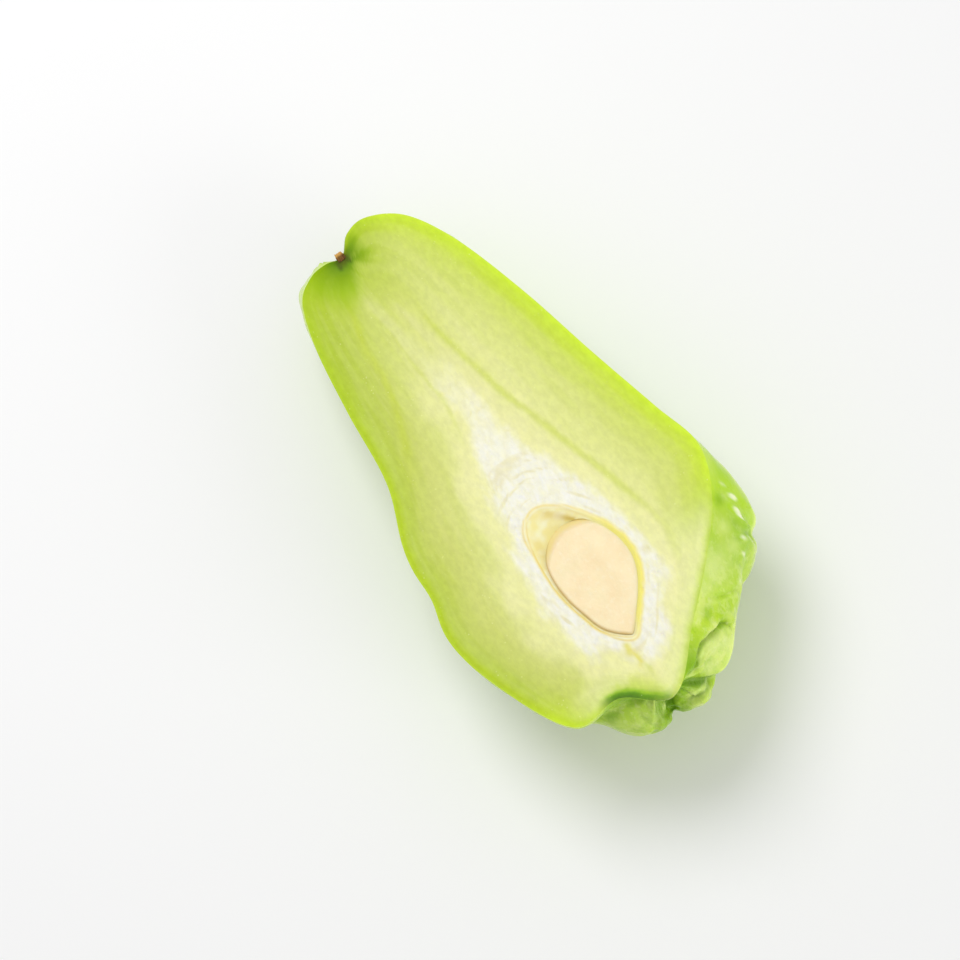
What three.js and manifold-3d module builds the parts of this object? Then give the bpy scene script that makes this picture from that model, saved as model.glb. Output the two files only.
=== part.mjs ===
// One half of a chayote squash, cut lengthwise and lying on its skin with the cut face up.
// Millimetres, +Z up. The origin is the middle of the footprint, on the surface it lies on.
// +X runs from the stem end to the blossom end.
//
// Until the last step every shape is drawn in the fruit's own frame: X along the fruit,
// Y across the cut face, Z = 0 on the cut face and the kept half below it.
import * as THREE from 'three';
import { mergeVertices } from 'three/addons/utils/BufferGeometryUtils.js';
import Module from 'manifold-3d';

// ---- Skin -------------------------------------------------------------------------------
// Ribs are lines on the skin from the stem scar to the blossom scar, each in its own
// half-plane through the two scars. A rib's angle is turned down from the right rim of the
// cut, so 0 and 180 are the two rims of the cut face and 90 is straight down. Its points
// are [x, distance from the line between the scars], at the same stations on every rib.
const STEM_SCAR_X = -70.4;
const BLOSSOM_SCAR_X = 65.4;
const RIBS = [
  {
    angle: 0, // right rim of the cut: runs into the cleft from x = 35 on
    stemEnd: [[-74.5, 4.4], [-74.9, 10.3], [-68.7, 18.1]],
    neck: [[-55, 24.0], [-34, 28.8], [-12, 32.4], [8, 36.0]],
    belly: [[22, 38.3], [34.5, 33.2], [44.5, 24.4]],
    blossomEnd: [[54.8, 13.1]],
  },
  {
    angle: 20, // the lobe that swells out under the right rim
    stemEnd: [[-74.6, 4.3], [-75.1, 10.3], [-69.6, 18.5]],
    neck: [[-56, 24.6], [-35, 28.8], [-12, 32.4], [9, 36.6]],
    belly: [[28, 41.3], [42, 40.2], [50.6, 30.9]],
    blossomEnd: [[59.4, 18.4]],
  },
  {
    angle: 60, // under side, right
    stemEnd: [[-74.0, 4.0], [-75.5, 10.0], [-71.5, 18.0]],
    neck: [[-58, 25.0], [-37, 28.5], [-13, 31.5], [9, 35.0]],
    belly: [[28, 37.0], [45, 35.3], [56.4, 27.6]],
    blossomEnd: [[67.6, 13.5]],
  },
  {
    angle: 120, // under side, left
    stemEnd: [[-74.4, 4.0], [-77.0, 9.5], [-73.0, 17.5]],
    neck: [[-59, 24.0], [-38, 26.5], [-14, 28.5], [8, 32.5]],
    belly: [[26, 35.0], [43, 33.5], [56.8, 25.5]],
    blossomEnd: [[68.0, 12.5]],
  },
  {
    angle: 158, // the shoulder under the left rim
    stemEnd: [[-75.0, 3.1], [-75.5, 8.0], [-73.2, 15.0]],
    neck: [[-60, 18.8], [-40, 21.0], [-16, 23.8], [4, 29.2]],
    belly: [[23, 32.3], [41, 29.6], [55.5, 22.6]],
    blossomEnd: [[64.0, 12.0]],
  },
  {
    angle: 180, // left rim of the cut
    stemEnd: [[-71.6, 4.0], [-71.1, 8.6], [-67.0, 13.6]],
    neck: [[-55, 17.4], [-37, 20.2], [-17, 22.6], [0, 28.7]],
    belly: [[22, 32.2], [40, 28.8], [57, 21.0]],
    blossomEnd: [[58.0, 9.5]],
  },
];

// Furrows run from scar to scar. Angles are at the stem and at the blossom end; depths are
// at the FURROW_STATIONS, counted in rib points from the stem scar.
const FURROW_STATIONS = [0, 2.5, 5.5, 9, 11.3];
const FURROWS = [
  { from: 90, to: 98, depth: [4.6, 3.4, 1.8, 2.8, 5.2], width: 6.5 },
  { from: 34, to: 13, depth: [3.0, 1.6, 0.6, 0.3, 1.2], width: 4.5 },
  { from: 50, to: 53, depth: [0.4, 0, 0, 1.4, 3.8], width: 4.0 },
  { from: 140, to: 165, depth: [2.4, 2.2, 1.2, 1.0, 4.2], width: 5.5 },
];
const FURROW_WANDER = 2.5; // degrees the furrows weave from side to side
const RIM_CLEAR = 13; // degrees from the cut in which furrows fade out
const LEAST_RADIUS = 0.4; // share of a point's distance from the axis that a furrow leaves

// Dents and puckers: station, angle, how far in (negative: a swelling), length in stations,
// width in degrees.
const DENTS = [
  { at: 8.3, angle: 14, depth: -0.65, length: 0.4, width: 10 },
  { at: 8.95, angle: 20, depth: 2.3, length: 0.16, width: 9 },
  { at: 9.25, angle: 30, depth: 1.4, length: 0.2, width: 14 },
  { at: 9.72, angle: 33, depth: 3.7, length: 0.33, width: 17 },
  { at: 10.3, angle: 34, depth: 1.85, length: 0.45, width: 14 },
  { at: 10.9, angle: 30, depth: -0.15, length: 0.3, width: 14 },
  { at: 10.6, angle: 61, depth: 1.0, length: 0.2, width: 11 },
  { at: 10.88, angle: 42, depth: -1.6, length: 0.16, width: 9 },
  { at: 10.05, angle: 142, depth: 2.4, length: 0.45, width: 13 },
  { at: 6.2, angle: 62, depth: 2.0, length: 0.5, width: 9 },
  { at: 8.4, angle: 70, depth: 1.2, length: 0.35, width: 7 },
  { at: 4.0, angle: 116, depth: 1.8, length: 0.45, width: 9 },
  { at: 7.6, angle: 120, depth: 1.7, length: 0.4, width: 8 },
  { at: 7.55, angle: 180, depth: 1.4, length: 0.28, width: 22 },
];

// ---- Seed, the hollow round it, and the dried stem ---------------------------------------
// Closed outlines on the cut face, [x, y].
const SEED_OUTLINE = [
  [19.5, -2.2], [17.4, 2.3], [18.5, 6.3], [22.1, 8.9], [26.1, 10.5], [31.0, 11.1],
  [35.3, 10.4], [40.2, 7.9], [44.6, 4.5], [47.6, 1.4], [45.8, -1.1], [42.2, -2.9],
  [36.4, -4.5], [30.8, -5.5], [25.5, -5.2],
];
const HOLLOW_OUTLINE = [
  [10.6, -1.4], [11.2, 2.2], [14.3, 5.4], [18.2, 8.0], [22.0, 9.8], [26.2, 11.3],
  [31.0, 11.9], [35.6, 11.1], [40.7, 8.6], [45.2, 5.1], [48.8, 1.5], [46.4, -1.9],
  [42.6, -3.8], [36.4, -5.4], [30.8, -6.4], [25.0, -6.2], [17.8, -5.2], [13.0, -3.8],
];
const SEED_MIDDLE = [32.5, 2.6];
const HOLLOW_MIDDLE = [30.5, 2.4];
const SEED_DEPTH = 6.2;
const HOLLOW_DEPTH = 7.6;

const STUB_RADIUS = 1.15;
const STUB_TIP_RADIUS = 0.85;
const STUB_OUT = 1.5; // how far it stands out of the stem scar
const STUB_IN = 0.9; // how far it is set into the flesh
const STUB_GAP = 0.3;
const STUB_BELOW_CUT = 0.15;

// ---- Rest: how the half lies on its under side --------------------------------------------
const REST_PITCH = -7.2; // degrees, blossom end down (negative: it rests on belly and neck)
const REST_ROLL = -5.4; // degrees, right side down
const REST_FLAT = 0.45; // the lowest skin is flattened by this much

// ---- Mesh density -------------------------------------------------------------------------
const RINGS = 58;
const RING_STEPS = 46;
const OUTLINE_STEPS = 40;
const BOWL_STEPS = 6;
const STUB_STEPS = 14;

const rad = THREE.MathUtils.degToRad;
const ribLines = RIBS.map((rib) => [
  [STEM_SCAR_X, 0],
  ...rib.stemEnd,
  ...rib.neck,
  ...rib.belly,
  ...rib.blossomEnd,
  [BLOSSOM_SCAR_X, 0],
]);
const LAST = ribLines[0].length - 1;

// Smooth step from 0 at a to 1 at b.
const ramp = (x, a, b) => THREE.MathUtils.smoothstep(x, a, b);

// How much each rib counts at an angle between them.
function ribShares(angle) {
  const count = RIBS.length;
  const shares = new Array(count).fill(0);
  let i = 0;
  while (i < count - 2 && angle >= RIBS[i + 1].angle) i++;
  const span = RIBS[i + 1].angle - RIBS[i].angle;
  const f = (angle - RIBS[i].angle) / span;
  shares[i] += 2 * f ** 3 - 3 * f ** 2 + 1;
  shares[i + 1] += 3 * f ** 2 - 2 * f ** 3;
  const addSlope = (rib, weight) => {
    const before = Math.max(rib - 1, 0);
    const after = Math.min(rib + 1, count - 1);
    const step = RIBS[after].angle - RIBS[before].angle;
    shares[after] += (weight * span) / step;
    shares[before] -= (weight * span) / step;
  };
  addSlope(i, f ** 3 - 2 * f ** 2 + f);
  addSlope(i + 1, f ** 3 - f ** 2);
  return shares;
}

// The rib at any angle, before furrows and dents: [x, distance from the axis].
function ribPoint(station, shares) {
  const mixed = (k) => {
    const inside = Math.abs(k) > LAST ? 2 * LAST - k : Math.abs(k);
    const side = inside === k ? 1 : -1;
    let x = 0;
    let r = 0;
    ribLines.forEach((line, n) => {
      x += shares[n] * line[inside][0];
      r += shares[n] * line[inside][1] * side;
    });
    return [x, r];
  };
  const i = Math.min(Math.floor(station), LAST - 1);
  const f = station - i;
  const [a, b, c, d] = [mixed(i - 1), mixed(i), mixed(i + 1), mixed(i + 2)];
  return [0, 1].map((n) => {
    const linear = (c[n] - a[n]) * f;
    const square = (2 * a[n] - 5 * b[n] + 4 * c[n] - d[n]) * f ** 2;
    const cube = (3 * b[n] - a[n] - 3 * c[n] + d[n]) * f ** 3;
    return 0.5 * (2 * b[n] + linear + square + cube);
  });
}

function furrowDepth(depths, station) {
  let i = 0;
  while (i < depths.length - 2 && station > FURROW_STATIONS[i + 1]) i++;
  const from = FURROW_STATIONS[i];
  const f = THREE.MathUtils.clamp((station - from) / (FURROW_STATIONS[i + 1] - from), 0, 1);
  return depths[i] + (depths[i + 1] - depths[i]) * f;
}

// How far the skin is drawn in at a place on it.
function sunk(station, angle, radius) {
  const along = station / LAST;
  let furrow = 0;
  for (const { from, to, depth, width } of FURROWS) {
    const middle = from + (to - from) * along - FURROW_WANDER * Math.sin(9 * along + from);
    const away = rad(Math.abs(angle - middle)) * radius;
    const here = furrowDepth(depth, station) * Math.exp(-((away / width) ** 1.15));
    furrow = Math.max(furrow, here);
  }
  let dent = 0;
  for (const { at, angle: middle, depth, length, width } of DENTS) {
    const d = ((station - at) / length) ** 2 + ((angle - middle) / width) ** 2;
    dent += depth * Math.exp(-d);
  }
  const clear = ramp(angle, 0, RIM_CLEAR) * ramp(180 - angle, 0, RIM_CLEAR);
  return clear * furrow * ramp(radius, 0, 3.5) + dent;
}

function skinPoint(station, angle) {
  const shares = ribShares(angle);
  const [x, r] = ribPoint(station, shares);
  const before = ribPoint(Math.max(station - 0.01, 0), shares);
  const after = ribPoint(Math.min(station + 0.01, LAST), shares);
  const along = new THREE.Vector2(after[0] - before[0], after[1] - before[1]).normalize();
  const full = Math.max(r, 0);
  const depth = sunk(station, angle, full);
  const radius = Math.max(r - depth * along.x, LEAST_RADIUS * full); // keeps off the cut face
  const turn = rad(angle);
  return new THREE.Vector3(
    x + depth * along.y,
    radius * Math.cos(turn),
    -radius * Math.sin(turn),
  );
}

// ---- Bodies ---------------------------------------------------------------------------------
function geometryOf(points, faces) {
  const geometry = new THREE.BufferGeometry();
  geometry.setAttribute(
    'position',
    new THREE.Float32BufferAttribute(points.flatMap((p) => p.toArray()), 3),
  );
  geometry.setIndex(faces.flat());
  return geometry;
}

// Skin rings closed by the flat cut face. The place function puts the points in the rest pose.
function fruitGeometry(place) {
  const points = [];
  const faces = [];
  const stem = 0;
  points.push(place(skinPoint(0, 0)));
  for (let ring = 1; ring < RINGS; ring++) {
    for (let step = 0; step <= RING_STEPS; step++) {
      points.push(place(skinPoint((ring / RINGS) * LAST, (step / RING_STEPS) * 180)));
    }
  }
  points.push(place(skinPoint(LAST, 0)));
  const blossom = points.length - 1;
  const at = (ring, step) => 1 + (ring - 1) * (RING_STEPS + 1) + step;
  for (let step = 0; step < RING_STEPS; step++) {
    faces.push([stem, at(1, step), at(1, step + 1)]);
    faces.push([blossom, at(RINGS - 1, step + 1), at(RINGS - 1, step)]);
    for (let ring = 1; ring < RINGS - 1; ring++) {
      faces.push([at(ring, step), at(ring + 1, step), at(ring, step + 1)]);
      faces.push([at(ring, step + 1), at(ring + 1, step), at(ring + 1, step + 1)]);
    }
  }
  const rim = [stem];
  for (let ring = 1; ring < RINGS; ring++) rim.push(at(ring, RING_STEPS));
  rim.push(blossom);
  for (let ring = RINGS - 1; ring > 0; ring--) rim.push(at(ring, 0));
  const flat = rim.map((i) => new THREE.Vector2(points[i].x, points[i].y));
  for (const [a, b, c] of THREE.ShapeUtils.triangulateShape(flat, [])) {
    faces.push([rim[a], rim[b], rim[c]]);
  }
  return geometryOf(points, faces);
}

// A bowl hung from a closed outline on the cut face, with a flat lid at the height given.
function bowlGeometry(outline, middle, depth, lid) {
  const corners = outline.map(([x, y]) => new THREE.Vector3(x, y, 0));
  const curve = new THREE.CatmullRomCurve3(corners, true, 'centripetal');
  const edge = curve.getPoints(OUTLINE_STEPS).slice(0, OUTLINE_STEPS);
  const centre = new THREE.Vector3(...middle, 0);
  const rings = lid > 0 ? [edge.map((p) => p.clone().setZ(lid))] : [];
  for (let ring = 0; ring < BOWL_STEPS; ring++) {
    const turn = (ring / BOWL_STEPS) * (Math.PI / 2);
    const z = -depth * Math.sin(turn);
    rings.push(edge.map((p) => centre.clone().lerp(p, Math.cos(turn)).setZ(z)));
  }
  return ringsGeometry(rings, centre.clone().setZ(lid), centre.clone().setZ(-depth));
}

// The dried stem: a half round peg along X, flat on the cut side. Grown by the gap all round,
// it is also the socket it sits in.
function pegGeometry(grow, lid) {
  const section = (x, radius) => {
    const ring = [];
    for (let step = 0; step <= STUB_STEPS; step++) {
      const turn = (step / STUB_STEPS) * Math.PI;
      const y = (radius + grow) * Math.cos(turn);
      ring.push(new THREE.Vector3(x, y, lid - (radius + grow + lid) * Math.sin(turn)));
    }
    return ring;
  };
  const inner = STEM_SCAR_X + STUB_IN + grow;
  const outer = STEM_SCAR_X - STUB_OUT - grow;
  const waist = STEM_SCAR_X - 0.3;
  const rings = [
    section(inner, STUB_RADIUS),
    section(waist, STUB_RADIUS),
    section(outer, STUB_TIP_RADIUS),
  ];
  const start = new THREE.Vector3(inner, 0, lid - 0.6);
  const end = new THREE.Vector3(outer, 0, lid - 0.6);
  return ringsGeometry(rings, start, end);
}

// Closed rings of points joined one to the next, each end closed to a middle point.
function ringsGeometry(rings, first, last) {
  const size = rings[0].length;
  const points = [first, ...rings.flat(), last];
  const faces = [];
  const at = (ring, step) => 1 + ring * size + (step % size);
  const end = points.length - 1;
  for (let step = 0; step < size; step++) {
    faces.push([0, at(0, step + 1), at(0, step)]);
    faces.push([end, at(rings.length - 1, step), at(rings.length - 1, step + 1)]);
    for (let ring = 0; ring < rings.length - 1; ring++) {
      faces.push([at(ring, step), at(ring, step + 1), at(ring + 1, step)]);
      faces.push([at(ring, step + 1), at(ring + 1, step + 1), at(ring + 1, step)]);
    }
  }
  return geometryOf(points, faces);
}

const wasm = await Module();
wasm.setup();

function solidOf(geometry) {
  const merged = mergeVertices(geometry, 1e-4);
  return new wasm.Manifold(
    new wasm.Mesh({
      numProp: 3,
      vertProperties: merged.attributes.position.array,
      triVerts: new Uint32Array(merged.index.array),
    }),
  );
}

function geometryFrom(solid) {
  const mesh = solid.getMesh();
  const geometry = new THREE.BufferGeometry();
  geometry.setAttribute('position', new THREE.BufferAttribute(mesh.vertProperties, 3));
  geometry.setIndex(new THREE.BufferAttribute(mesh.triVerts, 1));
  return geometry;
}

// ---- Rest pose and assembly -----------------------------------------------------------------
const turned = new THREE.Matrix4().makeRotationFromEuler(
  new THREE.Euler(rad(-REST_ROLL), rad(REST_PITCH), 0, 'XYZ'),
);
const skin = fruitGeometry((p) => p.applyMatrix4(turned));
skin.computeBoundingBox();
const middle = skin.boundingBox.getCenter(new THREE.Vector3());
const lift = new THREE.Matrix4().makeTranslation(
  -middle.x,
  -middle.y,
  -skin.boundingBox.min.z - REST_FLAT,
);
const rest = lift.multiply(turned);
const resting = fruitGeometry((p) => {
  p.applyMatrix4(rest);
  return p.setZ(Math.max(p.z, 0));
});

const hollow = bowlGeometry(HOLLOW_OUTLINE, HOLLOW_MIDDLE, HOLLOW_DEPTH, 2).applyMatrix4(rest);
const socket = pegGeometry(STUB_GAP, 1).applyMatrix4(rest);
const fruit = solidOf(resting).subtract(solidOf(hollow)).subtract(solidOf(socket));

function mesh(name, geometry, material) {
  const made = new THREE.Mesh(geometry, new THREE.MeshStandardMaterial(material));
  made.name = name;
  return made;
}

const chayote = new THREE.Group();
chayote.name = 'chayote_half';
chayote.add(
  mesh('fruit_half', geometryFrom(fruit), { color: 0xc9dd6e, roughness: 0.45, metalness: 0 }),
  mesh(
    'seed_half',
    bowlGeometry(SEED_OUTLINE, SEED_MIDDLE, SEED_DEPTH, 0).applyMatrix4(rest),
    { color: 0xf3e2b4, roughness: 0.55, metalness: 0 },
  ),
  mesh('stem_stub', pegGeometry(0, -STUB_BELOW_CUT).applyMatrix4(rest), {
    color: 0x7a5a2c,
    roughness: 0.9,
    metalness: 0,
  }),
);

export default chayote;
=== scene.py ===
"""Half a chayote squash, cut lengthwise and lying on its skin with the cut face up.

Every shape is drawn in millimetres in the fruit's own frame (X along the fruit, Y across the
cut face, Z = 0 on the cut face and the kept half below it), then put into the rest pose.
"""

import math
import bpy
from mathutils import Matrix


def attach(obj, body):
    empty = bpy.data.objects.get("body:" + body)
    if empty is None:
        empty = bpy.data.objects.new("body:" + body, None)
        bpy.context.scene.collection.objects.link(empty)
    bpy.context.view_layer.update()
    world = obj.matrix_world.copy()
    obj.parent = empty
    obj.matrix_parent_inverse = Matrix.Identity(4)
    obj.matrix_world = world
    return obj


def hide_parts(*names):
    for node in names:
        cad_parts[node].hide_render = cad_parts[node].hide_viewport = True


bl_info = {
    "name": "Chayote Half",
    "version": (1, 0, 0),
    "blender": (4, 5, 0),
    "location": "3D View > Sidebar > Chayote",
    "description": "Half a chayote squash with its seed and dried stem, on a pale floor",
    "category": "Add Mesh",
}

import bpy
import numpy as np
from bpy.props import FloatProperty, FloatVectorProperty, IntProperty, PointerProperty
from mathutils import Matrix, Vector, noise

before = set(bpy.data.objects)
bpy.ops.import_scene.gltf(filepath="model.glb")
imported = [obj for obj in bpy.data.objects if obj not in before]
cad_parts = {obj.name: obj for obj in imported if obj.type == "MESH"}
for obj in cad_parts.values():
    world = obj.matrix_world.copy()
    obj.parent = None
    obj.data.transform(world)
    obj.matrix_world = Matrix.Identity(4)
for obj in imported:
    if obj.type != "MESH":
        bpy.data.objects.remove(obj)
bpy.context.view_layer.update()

MM = 0.001

# ---- Shape of the fruit, as in the part's source ------------------------------------------
# Ribs run on the skin from the stem scar to the blossom scar. An angle is turned down from
# the right rim of the cut, so 0 and 180 are the rims. Points are (x, distance from the axis).
STEM_SCAR_X = -70.4
BLOSSOM_SCAR_X = 65.4
RIB_ANGLES = (0, 20, 60, 120, 158, 180)
RIB_POINTS = (
    ((-74.5, 4.4), (-74.9, 10.3), (-68.7, 18.1), (-55, 24.0), (-34, 28.8), (-12, 32.4),
     (8, 36.0), (22, 38.3), (34.5, 33.2), (44.5, 24.4), (54.8, 13.1)),
    ((-74.6, 4.3), (-75.1, 10.3), (-69.6, 18.5), (-56, 24.6), (-35, 28.8), (-12, 32.4),
     (9, 36.6), (28, 41.3), (42, 40.2), (50.6, 30.9), (59.4, 18.4)),
    ((-74.0, 4.0), (-75.5, 10.0), (-71.5, 18.0), (-58, 25.0), (-37, 28.5), (-13, 31.5),
     (9, 35.0), (28, 37.0), (45, 35.3), (56.4, 27.6), (67.6, 13.5)),
    ((-74.4, 4.0), (-77.0, 9.5), (-73.0, 17.5), (-59, 24.0), (-38, 26.5), (-14, 28.5),
     (8, 32.5), (26, 35.0), (43, 33.5), (56.8, 25.5), (68.0, 12.5)),
    ((-75.0, 3.1), (-75.5, 8.0), (-73.2, 15.0), (-60, 18.8), (-40, 21.0), (-16, 23.8),
     (4, 29.2), (23, 32.3), (41, 29.6), (55.5, 22.6), (64.0, 12.0)),
    ((-71.6, 4.0), (-71.1, 8.6), (-67.0, 13.6), (-55, 17.4), (-37, 20.2), (-17, 22.6),
     (0, 28.7), (22, 32.2), (40, 28.8), (57, 21.0), (58.0, 9.5)),
)
LAST = len(RIB_POINTS[0]) + 1

FURROW_STATIONS = (0, 2.5, 5.5, 9, 11.3)
# From (at the stem), to (at the blossom end), depths at the stations, width.
FURROWS = (
    (90, 98, (4.6, 3.4, 1.8, 2.8, 5.2), 6.5),
    (34, 13, (3.0, 1.6, 0.6, 0.3, 1.2), 4.5),
    (50, 53, (0.4, 0, 0, 1.4, 3.8), 4.0),
    (140, 165, (2.4, 2.2, 1.2, 1.0, 4.2), 5.5),
)
FURROW_WANDER = 2.5
RIM_CLEAR = 13
LEAST_RADIUS = 0.4
# Dents as (station, angle, depth, length in stations, width in degrees); a bump is less than 0.
DENTS = (
    (8.3, 14, -0.65, 0.4, 10), (8.95, 20, 2.3, 0.16, 9), (9.25, 30, 1.4, 0.2, 14),
    (9.72, 33, 3.7, 0.33, 17), (10.3, 34, 1.85, 0.45, 14), (10.9, 30, -0.15, 0.3, 14),
    (10.6, 61, 1.0, 0.2, 11), (10.88, 42, -1.6, 0.16, 9), (10.05, 142, 2.4, 0.45, 13),
    (6.2, 62, 2.0, 0.5, 9), (8.4, 70, 1.2, 0.35, 7), (4.0, 116, 1.8, 0.45, 9),
    (7.6, 120, 1.7, 0.4, 8), (7.55, 180, 1.4, 0.28, 22),
)
# Small puckers and creases that only the finished skin has, written as the dents are.
PUCKERS = (
    (8.62, 4, 0.4, 0.07, 4), (8.8, 7, 0.5, 0.07, 5), (9.05, 10, 0.45, 0.06, 5),
    (9.28, 14, 0.3, 0.07, 7), (9.5, 10, 0.35, 0.06, 5), (10.27, 19, 0.3, 0.08, 8),
    (10.5, 10, 0.25, 0.07, 7), (10.62, 3, 0.3, 0.05, 4), (10.88, 18, 0.9, 0.07, 5),
    (11.1, 14.5, 1.0, 0.07, 4), (11.25, 11, 0.8, 0.08, 4), (11.5, 17, 0.9, 0.10, 7),
    (8.72, 27.5, 1.1, 0.06, 3), (8.82, 25, 1.2, 0.06, 3), (8.94, 22.5, 0.6, 0.06, 3),
    (9.09, 19.7, 1.2, 0.07, 3), (9.2, 17.3, 1.1, 0.07, 3), (9.17, 43, 0.9, 0.07, 3),
    (9.3, 40.3, 1.3, 0.07, 3), (9.43, 38.3, 1.1, 0.07, 3),
    (11.3, 28, 0.6, 0.10, 8), (10.9, 45, 0.7, 0.12, 9), (11.25, 63, 0.7, 0.10, 9),
    (11.25, 100, 0.9, 0.16, 5), (10.9, 128, 0.5, 0.12, 4), (11.2, 136, 0.25, 0.08, 6),
    (11.2, 150, 0.25, 0.08, 8), (2.3, 24, 0.5, 0.10, 6), (1.6, 44, 0.5, 0.14, 5),
    (2.8, 128, 0.6, 0.14, 6), (1.9, 70, 0.5, 0.12, 6), (5.2, 96, 0.6, 0.12, 7),
    (8.9, 103, 0.6, 0.12, 6), (3.4, 88, 0.5, 0.10, 8), (6.9, 30, 0.5, 0.18, 4),
    (7.9, 52, 0.5, 0.14, 6), (4.6, 40, 0.4, 0.12, 8), (5.9, 148, 0.4, 0.12, 8),
)
# Small bumps on the lobes, written as the dents are, with their height for depth. Each also gets a
# painted highlight, a near-white spot laid into the skin colour.
GLINTS = (
    (8.63, 3.8, 0.8, 0.06, 1.8), (8.78, 7.4, 1.0, 0.05, 1.8), (8.98, 8.8, 0.9, 0.05, 1.8),
    (9.06, 10.4, 1.0, 0.05, 1.8), (9.44, 12.2, 0.7, 0.05, 1.8), (9.71, 15.2, 0.7, 0.05, 2),
    (10.16, 17, 0.5, 0.06, 2), (10.05, 22, 0.3, 0.06, 4), (11.0, 24, 0.3, 0.06, 5),
)
# Lines along the ridges of the lobes at the blossom end, as (station, angle), where a painted
# highlight is laid on the skin.
CREST = (
    (7.9, 8), (8.14, 11), (8.34, 14), (8.51, 16), (8.65, 20), (8.76, 23), (8.95, 25), (9.08, 29),
    (9.1, 36), (9.36, 41),
)
LOW_CREST = ((10.3, 29), (10.56, 30), (10.76, 32), (10.83, 36), (10.87, 41), (10.91, 45))
# Deeper green patches of skin, partly its own colour and partly painted shade in the clefts and
# under the cut: station, angle, reach in millimetres, strength.
DEEP_AND_SHADED_PATCHES = (
    (8.96, 2.5, 1.6, 0.8), (9.24, 8, 1.4, 0.3), (10.6, 160, 1.9, 0.6), (10.95, 176, 2.2, 0.7),
    (11.65, 66, 1.7, 1.0), (10.82, 6, 2.0, 0.5), (10.76, 13, 1.5, 0.4), (11.51, 5.8, 3.0, 0.9),
    (11.64, 38, 1.6, 0.9), (11.45, 164, 2.0, 1.0), (11.75, 165, 2.2, 1.0),
    (11.1, 170, 1.8, 0.9), (10.7, 173, 1.5, 0.8),
)
# Paler patches, written the same way: partly paler skin and partly painted light on the lit parts
# of the lobes.
PALE_AND_LIT_PATCHES = (
    (8.85, 4.5, 1.3, 0.5), (9.45, 4, 2.0, 0.6), (9.7, 9, 2.2, 0.6), (10.1, 3, 4.5, 0.9),
    (10.45, 1.5, 2.4, 0.7), (11.18, 19.8, 3.0, 0.9), (10.96, 27.5, 3.0, 0.9),
    (11.26, 32, 2.4, 0.9), (11.02, 62, 2.2, 0.4), (10.62, 6.5, 1.6, 0.6),
    (11.28, 152, 2.2, 0.3), (11.42, 137, 2.4, 0.5), (11.15, 141, 2.2, 0.2),
)
# Folds where the lobes meet, as (depth, width, points (station, angle)). The side towards the
# stem swells over the fold.
FOLDS = (
    (0.28, 0.45, ((10.20, 26), (10.27, 19), (10.40, 14), (10.53, 10), (10.62, 1.5))),
    (0.9, 0.45, ((10.72, 27), (10.80, 21), (10.88, 17.5), (11.10, 14.5), (11.25, 10.5),
                 (11.40, 12), (11.55, 17))),
    (0.4, 0.5, ((9.10, 30), (9.20, 22), (9.28, 14), (9.42, 12), (9.55, 9.5))),
    (0.15, 0.4, ((8.75, 22), (8.80, 13), (8.88, 8))),
    (0.6, 0.5, ((11.48, 30), (11.62, 16), (11.70, 8), (11.74, 1.5))),
    (0.7, 0.5, ((11.38, 78), (11.28, 63), (10.98, 55), (10.70, 52))),
    (0.7, 0.5, ((11.60, 88), (11.55, 96), (11.47, 105.5), (11.35, 112))),
    (0.12, 0.6, ((11.32, 128), (11.23, 135.5), (11.18, 150.5), (11.25, 160))),
    (0.25, 0.4, ((9.85, 12), (9.95, 24), (10.05, 36))),
    (0.6, 0.7, ((1.6, 12), (1.9, 26), (2.6, 36))),
    (0.6, 0.7, ((1.9, 148), (2.3, 138), (3.0, 132))),
)

# Edges of the seed and of its hollow on the cut (x, y). The seed nearly fills the hollow.
SEED_EDGE = (
    (21.5, -4.2), (18.8, -2.0), (17.4, 0.7), (17.1, 3.6), (18.5, 7.4), (21.7, 9.7), (25.4, 11.2),
    (29.0, 11.9), (33.0, 11.8), (36.9, 10.5), (40.8, 8.0), (44.6, 4.8), (47.8, 1.9), (47.6, 0.7),
    (45.0, -1.8), (42.0, -3.5), (38.1, -4.5), (33.5, -5.4), (29.1, -5.7), (24.8, -5.3),
)
HOLLOW_EDGE = (
    (11.6, -1.5), (11.4, 1.5), (14.2, 5.2), (17.8, 7.8), (21.6, 9.95), (25.4, 11.45),
    (29.0, 12.15), (33.0, 12.05), (37.0, 10.75), (40.9, 8.25), (44.8, 5.0), (48.1, 2.0),
    (47.9, 0.5), (45.2, -2.1), (42.2, -3.8), (38.1, -4.8), (33.5, -5.7), (29.1, -6.1),
    (24.8, -5.9), (20.4, -5.4), (16.0, -4.5), (13.0, -3.2),
)
SEED_MIDDLE = (32.5, 2.6)
HOLLOW_MIDDLE = (30.5, 2.4)
SEED_DEPTH = 6.2
HOLLOW_DEPTH = 7.6
# The bowl's rows end this far above its lowest point, which keeps them clear of the seed.
BOWL_ROUNDING = 0.5
LEDGE_ROWS = 8
BOWL_ROWS = 13
STUB_RADIUS = 1.15
STUB_TIP_RADIUS = 0.85
STUB_OUT = 1.5
STUB_IN = 0.9

# The pose it rests in, in degrees, and how much its lowest skin is flattened.
REST_PITCH = -7.2
REST_ROLL = -5.4
REST_FLAT = 0.45
# The part's source finds that pose on a skin of so many rings and steps.
COARSE_RINGS = 58
COARSE_STEPS = 46

# ---- Stage, in metres, and the camera's lens in millimetres --------------------------------
FLOOR_REACH = 2.5
LENS = 134
SENSOR = 36
VIEW_PIXELS = 960
AIM_LEFT_PIXELS = 27
AIM_DOWN_PIXELS = 2
# Direction from the fruit (right, up and back in the view), distance and diameter.
KEY_PLACE = ((-0.42, 0.62, 0.66), 0.9, 0.55)
FILL_PLACE = ((0.8, -0.4, 0.42), 1.0, 0.7)

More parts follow.
